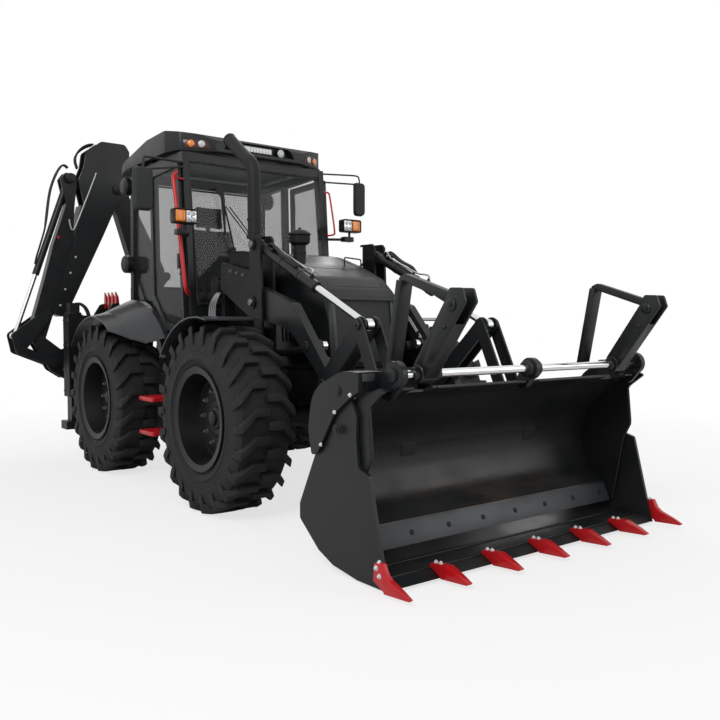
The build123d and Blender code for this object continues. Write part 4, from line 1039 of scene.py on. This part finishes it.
# --- Loader linkage -------------------------------------------------------------
# Plate arms and levers on pins with grease nipples, and rams with ground, hard
# chromed rods.  Steel pipes and rubber hoses carry oil along each tilt ram and arm.
hard_chrome = sprayed("hard chrome", (0.72, 0.73, 0.74), 0.14, dust=0.05, metallic=1.0, peel=0.03)
finish_node(hard_chrome, "fork_shaft", "tilt_rods", "lift_rods", "boom_ram_rod", "dipper_ram_rod",
            "crowd_ram_rod")
TILT_FOOT, TILT_END, TILT_Y = (0.940, 2.022), (2.306, 1.393), 0.565
reach = math.hypot(TILT_END[0] - TILT_FOOT[0], TILT_END[1] - TILT_FOOT[1])
run_x, run_z = (TILT_END[0] - TILT_FOOT[0]) / reach, (TILT_END[1] - TILT_FOOT[1]) / reach


def on_tilt(s, h, y):
    """A point s along the tilt ram and h above its middle line."""
    return (TILT_FOOT[0] + run_x * s - run_z * h, y, TILT_FOOT[1] + run_z * s + run_x * h)


def sleeve(steps, place, axis, sides=32):
    """An open ring slid over a rod or barrel, from (height, radius) steps along the axis."""
    ring = pressed_on(steps, sides)
    turn = Vector((0, 0, 1)).rotation_difference(Vector(axis).normalized())
    ring.data.transform(Matrix.Translation(place) @ turn.to_matrix().to_4x4())
    return ring


ram_axis = (run_x, 0, run_z)
RAM_PIPE = [(0.775, 0.060, 0), (0.775, 0.088, 0), (0.760, 0.094, 0), (0.720, 0.088, 0.006),
            (0.660, 0.064, 0.018),
            (0.40, 0.056, 0.020), (0.28, 0.056, 0.020), (0.240, 0.066, 0.014), (0.215, 0.080, 0.012),
            (0.185, 0.080, 0.014), (0.175, 0.066, 0.014)]
collars, pipes, hoses = [], [], []
for s in (1, -1):
    mid = s * TILT_Y
    foot = spot(*on_tilt(0, 0, mid))
    collars.append(sleeve([(0.800, 0.0403), (0.802, 0.0438), (0.861, 0.0438), (0.867, 0.039),
                           (0.867, 0.0262), (0.865, 0.0262), (0.865, 0.0403)],
                          foot, ram_axis))
    for at, deep in ((0.078, 0.024), (0.36, 0.025), (0.62, 0.025)):
        collars.append(sleeve([(at, 0.0402), (at, 0.0430), (at + deep, 0.0430), (at + deep, 0.0402)],
                              foot, ram_axis))
    for port in (0.175, 0.775):
        collars.append(turned([(0.0405, 0.016), (0.058, 0.016), (0.060, 0.012), (0.070, 0.012)],
                              spot(*on_tilt(port, 0, mid)), (-run_z, 0, run_x), 8))
    pipes.append(run_of([on_tilt(at, up, mid - s * inward) for at, up, inward in RAM_PIPE], 0.0075))
    for k, lift in ((0, 0.0), (1, 0.010)):
        y = mid + s * (0.006 + 0.024 * k)
        ram_hose = [(0.170, 0.044, 0), (0.172, 0.062 + lift, 0), (0.22, 0.080 + lift, 0),
                    (0.36, 0.062, 0.004),
                    (0.50, 0.072, 0.008), (0.56, 0.058, 0.004), (0.585, 0.045, 0)]
        hoses.append(run_of([on_tilt(at, up, y + s * outward) for at, up, outward in ram_hose], 0.010))
    strap_x = on_tilt(0.25, 0, 0)[0]
    collars.append(beside(s, TILT_Y - 0.032, TILT_Y + 0.042,
                          (strap_x - 0.012, on_tilt(0.25, 0.048, 0)[2]),
                          (strap_x + 0.030, on_tilt(0.25, 0.066, 0)[2]), 0.004))
settle(joined_up(collars), "tilt_ram_glands", "tilt_barrels", satin_black)
settle(joined_up(pipes), "tilt_ram_pipes", "tilt_barrels", bright_zinc)
settle(joined_up(hoses), "tilt_ram_hoses", "tilt_barrels", hose_rubber)


def pin_row(name, body, places, radius):
    """Pin heads with a nipple in the middle, at (place, axis)."""
    head = turned([(0, radius), (0.010, radius), (0.014, radius * 0.86), (0.0145, radius * 0.30),
                   (0.022, radius * 0.26), (0.024, radius * 0.12)],
                  (0, 0, 0), (0, 0, 1), 24)
    return settle(set_out(head, places), name, body, satin_black)


LIFT_FOOT, LIFT_END = (0.960, 1.160), (1.640, 1.240)
pin_row("lever_pins", "tip_levers", [(spot(1.880, s * 0.626, 0.985), (0, s, 0)) for s in (1, -1)], 0.034)
pin_row("link_pins", "tip_links", [(spot(x, s * 0.649, z), (0, s, 0)) for s in (1, -1)
                                   for x, z in (TILT_END, (2.560, 0.850))], 0.032)
pin_row("arm_pins", "loader", [(spot(LIFT_END[0], s * 0.600, LIFT_END[1]), (0, s, 0)) for s in (1, -1)],
        0.038)
ARM_PIPE = [(1.43, 1.497), (1.47, 1.468), (1.52, 1.420), (1.66, 1.265), (1.735, 1.185), (1.765, 1.160),
            (1.810, 1.155)]
arm_pipes, clips = [], []
for s in (1, -1):
    for k in (0, 1):
        y, drop = s * (0.519 - 0.001 * k), 0.022 * k
        arm_pipes.append(run_of([(x, y, z - drop) for x, z in ARM_PIPE], 0.0075))
    for x, z in ((1.46, 1.478), (1.60, 1.322)):
        clips.append(beside(s, 0.508, 0.531, (x - 0.014, z - 0.030), (x + 0.014, z + 0.022), 0.003))
settle(joined_up(arm_pipes), "arm_pipes", "loader", bright_zinc)
settle(joined_up(clips), "arm_pipe_clips", "loader", satin_black)
lift_way = (LIFT_END[0] - LIFT_FOOT[0], 0, LIFT_END[1] - LIFT_FOOT[1])
glands = []
for s in (1, -1):
    glands.append(sleeve([(0.575, 0.0293), (0.576, 0.034), (0.616, 0.034), (0.620, 0.028),
                          (0.620, 0.0293)], spot(LIFT_FOOT[0], s * 0.455, LIFT_FOOT[1]), lift_way, 24))
settle(joined_up(glands), "lift_ram_glands", "lift_barrels", satin_black)
loops = []
for s in (1, -1):
    loops.append(run_of([(0.42, s * 0.47, 1.62), (0.55, s * 0.455, 1.74), (0.75, s * 0.450, 1.82),
                         (0.92, s * 0.452, 1.90), (1.01, s * 0.470, 1.96)], 0.010))
    loops.append(run_of([(0.42, s * 0.46, 1.56), (0.60, s * 0.445, 1.62), (0.80, s * 0.445, 1.60),
                         (0.93, s * 0.470, 1.50), (0.98, s * 0.480, 1.38)], 0.012))
settle(joined_up(loops), "loader_hoses", "machine", hose_rubber)

# --- Clam bucket ------------------------------------------------------------------
# A welded shell of bent plate whose floor the load has scoured bright, with a brown
# patch that is partly wear and partly a painted yellowish reflection, a bolted wear
# strip inside it, and red cast teeth held by plated bolts.
scoured, tree, shader = plain_shader("scoured paint with painted sheen")
film = tree.nodes.new("ShaderNodeGroup")
film.node_tree = FILM
for label, value in (("Colour", (0.0085, 0.0095, 0.0105, 1)), ("Roughness", 0.36), ("Dust", 0.10),
                     ("Scale", 3.0)):
    film.inputs[label].default_value = value
place = tree.nodes.new("ShaderNodeTexCoord").outputs["Object"]
split = tree.nodes.new("ShaderNodeSeparateXYZ")
tree.links.new(place, split.inputs[0])
rise = node(tree, "ShaderNodeMapRange", split.outputs["Z"], i1=0.62, i2=0.30, i3=0.0, i4=1.0)
foot = node(tree, "ShaderNodeMapRange", split.outputs["Z"], i1=0.14, i2=0.26, i3=0.0, i4=1.0)
width = node(tree, "ShaderNodeMapRange",
             math_of(tree, "ABSOLUTE", math_of(tree, "SUBTRACT", split.outputs["Y"],
                                               spot(0, -0.15, 0).y)),
             i1=0.95, i2=0.15, i3=0.0, i4=1.0)
long_way = tree.nodes.new("ShaderNodeMapping")
long_way.inputs["Scale"].default_value = (3.0, 1.1, 5.0)
tree.links.new(place, long_way.inputs["Vector"])
blotch = node(tree, "ShaderNodeTexNoise", long_way.outputs[0], i2=1.5, i3=6.0)
patch = node(tree, "ShaderNodeMapRange", blotch, i1=0.44, i2=0.60, i3=0.0, i4=1.0)
wear_and_sheen = math_of(tree, "MULTIPLY", math_of(tree, "MULTIPLY", rise, foot),
               math_of(tree, "MULTIPLY", width, patch))
# The brown on the scoured floor is partly wear and partly a painted reflection of the polished steel; the
# lower roughness there is its real polish.
tree.links.new(blend_of(tree, math_of(tree, "MULTIPLY", wear_and_sheen, 0.8), film.outputs["Colour"],
                        (0.052, 0.040, 0.030)), shader.inputs["Base Color"])
scratch_way = tree.nodes.new("ShaderNodeMapping")
scratch_way.inputs["Scale"].default_value = (60.0, 1.5, 60.0)
tree.links.new(place, scratch_way.inputs["Vector"])
scratch = node(tree, "ShaderNodeTexNoise", scratch_way.outputs[0], i2=2.0, i3=3.0)
scored = math_of(tree, "MULTIPLY", node(tree, "ShaderNodeMapRange", scratch, i1=0.4, i2=0.6, i3=-0.05,
                                        i4=0.08), wear_and_sheen)
smooth = math_of(tree, "SUBTRACT", film.outputs["Roughness"], math_of(tree, "MULTIPLY", wear_and_sheen, 0.10))
tree.links.new(math_of(tree, "ADD", smooth, scored), shader.inputs["Roughness"])
relief_to(tree, shader, film.outputs["Height"], 0.001, 0.12)
shader.inputs["Specular IOR Level"].default_value = 0.32
finish_node(scoured, "bucket_shell", "bucket_clam")

slate = sprayed("slate plate", (0.030, 0.034, 0.039), 0.40, dust=0.2, specular=0.4)
facing = Vector((0.918, 0, 0.396))
strip = traced([(2.9290, 0.2445), (2.9815, 0.1235), (2.9850, 0.1250), (2.9325, 0.2460)], "y", -1.145,
               1.145, 0.0008)
settle(strip, "wear_strip", "bucket", slate)
strip_bolts = [(spot(2.9585, -1.05 + 0.30 * i, 0.1862), facing) for i in range(8)]
settle(set_out(turned([(0, 0.017), (0.002, 0.017), (0.0045, 0.012), (0.005, 0.006), (0.003, 0.005)],
                      (0, 0, 0), (0, 0, 1), 16), strip_bolts),
       "wear_strip_bolts", "bucket", frame_black)
welds = [run_of([(3.036, -1.19, 0.0575), (3.036, 1.19, 0.0575)], 0.005, order=2),
         run_of([(3.205, -1.19, 0.0535), (3.205, 1.19, 0.0535)], 0.005, order=2)]
settle(joined_up(welds), "clam_welds", "clam", satin_black)
edges = [run_of([(3.212, a, 1.052), (3.212, b, 1.052)], 0.007, order=2)
         for a, b in ((-1.05, -0.965), (-0.79, -0.06), (0.06, 0.79), (0.965, 1.05))]
for s in (1, -1):
    edges += [run_of([(3.098, s * 1.178, 0.947), (3.121, s * 1.178, 0.72), (3.120, s * 1.178, 0.69),
                      (3.068, s * 1.178, 0.592)], 0.010, order=2),
              run_of([(3.068, s * 1.178, 0.592), (2.982, s * 1.178, 0.125)], 0.008, order=2)]
settle(joined_up(edges), "shell_edges", "bucket", satin_black)
TIP = [(3.345, 0.094, 0.010), (3.440, 0.062), (3.503, 0.034), (3.490, 0.024), (3.400, 0.020),
       (3.303, 0.015), (3.303, 0.024), (3.232, 0.056)]
ADAPTOR = [(3.212, 0.060), (3.220, 0.086, 0.006), (3.300, 0.092)]
SIDE_ADAPTOR = [(3.215, 0.060), (3.222, 0.160, 0.012), (3.286, 0.170, 0.012), (3.312, 0.118)]
tooth_bolts, teeth = [], []
seats = [(y, ADAPTOR, 0.028) for y in (-0.82, -0.41, 0.0, 0.41, 0.82)]
seats += [(y, SIDE_ADAPTOR, 0.0165) for y in (-1.2314, 1.2314)]
for y, line, half in seats:
    tooth = traced(eased(line + TIP, 3), "y", y - half, y + half)
    for v in tooth.data.vertices:
        at = v.co - ground_mid
        ahead = max(0.0, (at.x - 3.36) / 0.143)
        v.co.y += (y - at.y) * 0.30 * min(1.0, ahead)
        if 3.30 < at.x < 3.37:
            v.co.y += (at.y - y) * 0.10
    softened(tooth, 0.0035, 2, 30)
    teeth.append(tooth)
    if abs(y) < 1:
        tooth_bolts += [(spot(x, y, z), (-0.075, 0, 1)) for x, z in ((3.238, 0.0868), (3.276, 0.0895))]
    else:
        s = math.copysign(1, y)
        tooth_bolts += [(spot(x, y + s * half, z), (0, s, 0))
                        for x, z in ((3.243, 0.138), (3.270, 0.100))]
        tooth_bolts += [(spot(3.252, y + s * 0.004, 0.1645), (0.1, 0, 1))]
teeth = joined_up(teeth)
settle(teeth, "cast_teeth", "clam", red_enamel, 40)
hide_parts("bucket_teeth")
white_zinc = sprayed("white zinc", (0.70, 0.71, 0.72), 0.42, dust=0.1, metallic=0.6)
settle(set_out(hex_bolt(0.0105, 0.012), tooth_bolts), "tooth_bolts", "clam", white_zinc)
bosses, nipples = [], []
for s in (1, -1):
    bosses.append(turned([(0, 0.030), (0.006, 0.030), (0.007, 0.020), (0.012, 0.018)],
                         spot(2.895, s * 1.240, 1.033), (0, s, 0), 24))
    bosses.append(turned([(0, 0.030), (0.005, 0.030), (0.006, 0.016), (0.014, 0.014)],
                         spot(2.885, s * 1.240, 0.820), (0, s, 0), 24))
    nipples += [(spot(x, s * 1.240, z), (0, s, 0))
                for x, z in ((2.867, 0.915), (2.735, 0.720), (3.008, 1.020))]
    bosses.append(traced([(2.935, 1.141), (3.074, 1.141), (3.074, 1.144), (2.935, 1.144)], "y",
                         *sorted((s * 1.065, s * 1.235)), 0.001))
settle(joined_up(bosses), "cheek_bosses", "bucket", satin_black)
settle(set_out(hex_bolt(0.009, 0.010), nipples), "cheek_bolts", "bucket", white_zinc)
blank = traced([(-1.212, 1.094), (-1.128, 1.094), (-1.128, 1.136), (-1.212, 1.136)], "x", 3.079, 3.0815,
               0.0008)
settle(blank, "blank_plate", "bucket", highlight_and_plate_grey)
pin_row("bucket_pins", "bucket", [(spot(2.400, s * 0.6235, 0.440), (0, s, 0)) for s in (1, -1)], 0.034)
FORK_SHAFT = (3.205, 1.130)
shaft_mid = spot(FORK_SHAFT[0], 0, FORK_SHAFT[1])
lobes = [turned([(-0.022, 0.060), (-0.020, 0.066), (0.020, 0.066), (0.022, 0.060)], shaft_mid, (0, 1, 0),
                36)]
for s in (1, -1):
    for k in (1, -1):
        lobes.append(turned([(0.0, 0.074), (0.004, 0.076), (0.010, 0.074), (0.012, 0.040), (0.026, 0.038),
                             (0.028, 0.026)],
                            shaft_mid + Vector((0, s * (1.084 + k * 0.012), 0)), (0, s * k, 0), 36))
    lobes.append(turned([(0.020, 0.050), (0.050, 0.050), (0.054, 0.042), (0.056, 0.026)], shaft_mid,
                        (0, s, 0), 32))
settle(joined_up(lobes), "shaft_brackets", "bucket", satin_black)

# --- Folding forks ----------------------------------------------------------------
# Box arms hang on sleeves over the bright shaft, and forged tines fold back on a pin
# in each arm's forked head.
FORK_Y = 0.877
ARM_LINE = eased([(3.160, 1.172), (3.246, 1.100), (3.5555, 1.514, 0.02), (3.530, 1.586, 0.02),
                  (3.440, 1.590, 0.02), (3.416, 1.536)], 4)
HEEL = eased([(3.462, 1.455, 0.015), (3.505, 1.500, 0.015), (3.478, 1.548, 0.02), (3.062, 1.680, 0.025),
              (3.010, 1.660, 0.025), (3.016, 1.622), (3.066, 1.630), (3.430, 1.512)], 4)
BLADE = [(3.013, 1.650), (3.058, 1.642), (2.952, 1.100), (2.932, 1.096), (2.908, 1.108)]
arms, tines = [], []
for s in (1, -1):
    y = s * FORK_Y
    arm = traced(ARM_LINE, "y", y - 0.050, y + 0.050)
    cut_by(arm, traced([(3.400, 1.400), (3.680, 1.400), (3.680, 1.700), (3.300, 1.700)], "y", y - 0.032,
                       y + 0.032), "DIFFERENCE")
    hub = sleeve([(-0.062, 0.0255), (-0.062, 0.048), (-0.058, 0.052), (0.058, 0.052), (0.062, 0.048),
                  (0.062, 0.0255)],
                 spot(FORK_SHAFT[0], y, FORK_SHAFT[1]), (0, 1, 0), 36)
    cut_by(arm, turned([(-0.08, 0.027), (0.08, 0.027)], spot(FORK_SHAFT[0], y, FORK_SHAFT[1]), (0, 1, 0),
                       32), "DIFFERENCE")
    softened(arm, 0.004, 2, 35)
    arms += [arm, hub]
    for k in (1, -1):
        arms.append(turned([(0, 0.034), (0.008, 0.034), (0.012, 0.028), (0.0125, 0.012), (0.020, 0.011)],
                           spot(3.460, y + k * 0.050, 1.500), (0, k, 0), 24))
        arms.append(turned([(0, 0.013), (0.007, 0.013), (0.010, 0.009)],
                           spot(3.405, y + k * 0.050, 1.385), (0, k, 0), 6))
        arms.append(sleeve([(0.0, 0.0255), (0.0, 0.038), (0.030, 0.038), (0.030, 0.0255)],
                           spot(FORK_SHAFT[0], y + k * 0.066, FORK_SHAFT[1]), (0, k, 0)))
    heel = traced(HEEL, "y", y - 0.026, y + 0.026)
    cut_by(heel, turned([(-0.04, 0.0145), (0.04, 0.0145)], spot(3.460, y, 1.500), (0, 1, 0), 24),
           "DIFFERENCE")
    softened(heel, 0.004, 2, 35)
    tines += [heel, softened(traced(BLADE, "y", y - 0.046, y + 0.046), 0.006, 2, 30)]
arms = joined_up(arms)
settle(arms, "fork_box_arms", "forks", satin_black, 40)
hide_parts("fork_arms")
tines = joined_up(tines)
settle(tines, "forged_tines", "tines", satin_black, 40)
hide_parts("fork_tines")

# --- Stabilizers and rear frame ---------------------------------------------------
# Square legs slide in guides bolted to the rear frame.  Each guide carries bolted
# covers, hose ends on top and a strip of reflective dashes on its outer corner.
covers, ends, feeds, dashes = [], [], [], []
for s in (1, -1):
    for z in (0.70, 0.92, 1.18, 1.44):
        covers += [(spot(x, s * 1.125, z), (0, s, 0)) for x in (-2.140, -2.010)]
    ends.append(beside(s, 0.985, 1.115, (-2.155, 1.498), (-1.995, 1.522), 0.006))
    for x in (-2.045, -2.105):
        ends.append(turned([(0, 0.018), (0.014, 0.018), (0.016, 0.012), (0.034, 0.011)],
                           spot(x, s * 1.05, 1.522), (0, 0, 1), 6))
        feeds.append(run_of([(x, s * 1.05, 1.545), (x + 0.005, s * 1.048, 1.600),
                             (x + 0.05, s * 1.00, 1.625), (x + 0.09, s * 0.93, 1.560),
                             (x + 0.10, s * 0.90, 1.40), (x + 0.10, s * 0.895, 1.20)], 0.011))
    for i in range(7):
        z = 0.72 + 0.11 * i
        dashes.append(beside(s, 1.098, 1.116, (-2.1665, z), (-2.1645, z + 0.055), 0.0006))
settle(set_out(hex_bolt(0.011, 0.010), covers), "guide_bolts", "machine", dull_zinc)
settle(joined_up(ends), "guide_caps", "machine", satin_black)
settle(joined_up(feeds), "stabilizer_hoses", "machine", hose_rubber)
pale_film = sprayed("pale reflective film", (0.62, 0.63, 0.62), 0.35, dust=0.1, specular=0.5)
settle(joined_up(dashes), "guide_dashes", "machine", pale_film)

# --- Backhoe ----------------------------------------------------------------------
# Fabricated boxes hinged on pins held by bolted keeper plates.  The rods are hard
# chromed, the teeth red, and the hoses run over the boom head and down the dipper.
HOE = -2.500
CHEEK = HOE + 0.0965
finish_node(red_enamel, "hoe_teeth")


def pin_ends(body, name, places, radius):
    """Both ends of a cross pin: (y, z, half width) in the backhoe's own plane."""
    head = turned([(0, radius * 1.45), (0.006, radius * 1.45), (0.010, radius * 1.3), (0.0105, radius),
                   (0.018, radius * 0.94), (0.019, radius * 0.35), (0.026, radius * 0.30)],
                  (0, 0, 0), (0, 0, 1), 28)
    ends = [(spot(HOE + s * half, y, z), (s, 0, 0)) for y, z, half in places for s in (1, -1)]
    return settle(set_out(head, ends), name, body, satin_black)


pin_ends("dipper", "dipper_pins", [(-0.420, 2.905, 0.1205), (-0.940, 2.983, 0.0985)], 0.036)
edge_line = ((-0.904, 2.130), (-0.963, 1.956), (-1.022, 1.776), (-1.078, 1.602))
white_bolts = [(spot(CHEEK, y, z), (1, 0, 0)) for y, z in edge_line]
settle(set_out(hex_bolt(0.012, 0.012, 0.014), white_bolts), "slide_bolts", "dipper", white_zinc)
settle(set_out(hex_bolt(0.016, 0.014, 0.018), [(spot(CHEEK, -1.083, 2.333), (1, 0, 0))]), "red_nut",
       "dipper", red_enamel)
side = HOE + 0.108
dipper_pipes = [run_of([(side, -0.668, 3.065), (side, -0.69, 3.00), (side, -0.80, 2.72),
                        (side, -0.895, 2.48), (side, -0.925, 2.415), (side, -0.955, 2.43),
                        (side, -0.971, 2.534)], 0.008)]
settle(joined_up(dipper_pipes), "dipper_pipes", "dipper", bright_zinc)
over = []
for k in range(3):
    x = HOE - 0.045 + 0.040 * k
    over.append(run_of([(x, -0.828 - 0.01 * k, 3.110), (x, -0.866 - 0.01 * k, 3.192),
                        (x, -0.826, 3.29 + 0.012 * k), (x, -0.726, 3.366 + 0.010 * k),
                        (x, -0.668, 3.388)], 0.011))
settle(joined_up(over), "head_hoses", "dipper", hose_rubber)
crowd = []
for k in (0, 1):
    x = HOE - 0.018 + 0.036 * k
    crowd.append(run_of([(x, -0.944, 3.100), (x, -0.985, 3.150), (x, -1.051, 3.066), (x, -1.110, 2.93),
                         (x, -1.150, 2.78), (x, -1.188, 2.463)]
                        + ([(x, -1.255, 2.24), (x, -1.300, 2.10),
                            (x, -1.310, 2.04)] if k else [(x, -1.190, 2.44)]), 0.010))
settle(joined_up(crowd), "crowd_hoses", "crowd_barrel", hose_rubber)

# --- Studio -----------------------------------------------------------------------
# A pale floor that turns white away from the machine, a white surround and three
# large soft lamps.
bpy.ops.object.select_all(action="DESELECT")
bpy.ops.mesh.primitive_plane_add(size=80, location=(0, 0, 0))
floor = bpy.context.object
floor.name = "floor"
floor_paint, tree, shader = plain_shader("floor")
shader.inputs["Base Color"].default_value = (0.86, 0.86, 0.86, 1)
shader.inputs["Roughness"].default_value = 0.9
place = tree.nodes.new("ShaderNodeTexCoord").outputs["Object"]
away = tree.nodes.new("ShaderNodeVectorMath")
away.operation = "LENGTH"
tree.links.new(place, away.inputs[0])
fade = node(tree, "ShaderNodeMapRange", away.outputs["Value"], i1=3.0, i2=8.0, i3=0.72, i4=1.0)
path = tree.nodes.new("ShaderNodeLightPath")
amount = math_of(tree, "MULTIPLY", fade, path.outputs["Is Camera Ray"])
glow = tree.nodes.new("ShaderNodeEmission")
glow.inputs["Strength"].default_value = 1.0
both = tree.nodes.new("ShaderNodeMixShader")
tree.links.new(amount, both.inputs[0])
tree.links.new(shader.outputs[0], both.inputs[1])
tree.links.new(glow.outputs[0], both.inputs[2])
tree.links.new(both.outputs[0], tree.nodes["Material Output"].inputs["Surface"])
floor.data.materials.append(floor_paint)

world = bpy.data.worlds.new("surround")
bpy.context.scene.world = world
world.use_nodes = True
sky = world.node_tree
back = sky.nodes["Background"]
path = sky.nodes.new("ShaderNodeLightPath")
seen = math_of(sky, "MAXIMUM", math_of(sky, "MAXIMUM", path.outputs["Is Camera Ray"],
                                       path.outputs["Is Glossy Ray"]),
               path.outputs["Is Transmission Ray"])
level = node(sky, "ShaderNodeMapRange", seen, i1=0.0, i2=1.0, i3=0.45, i4=1.0)
sky.links.new(level, back.inputs["Strength"])
back.inputs["Color"].default_value = (1, 1, 1, 1)

for name, place, size, power in (("key", (5, -7, 7.5), 4, 480), ("fill", (8, 5, 4), 5, 110),
                                 ("rim", (-7, 4, 7), 5, 240)):
    lamp = bpy.data.lights.new(name, "AREA")
    lamp.size = size
    lamp.energy = power
    lamp_object = bpy.data.objects.new(name, lamp)
    bpy.context.collection.objects.link(lamp_object)
    lamp_object.location = place
    lamp_object.rotation_euler = (Vector((0, 0, 1)) - Vector(place)).to_track_quat("-Z", "Y").to_euler()

eye = bpy.data.cameras.new("view")
eye.lens = 39.87
eye.sensor_width = 36
camera = bpy.data.objects.new("view", eye)
bpy.context.collection.objects.link(camera)
camera.location = spot(6.413, -3.814, 1.402)
camera.rotation_euler = (math.radians(90 - 2.6), 0, math.radians(52.19))
bpy.context.scene.camera = camera
bpy.context.scene.view_settings.view_transform = "Standard"
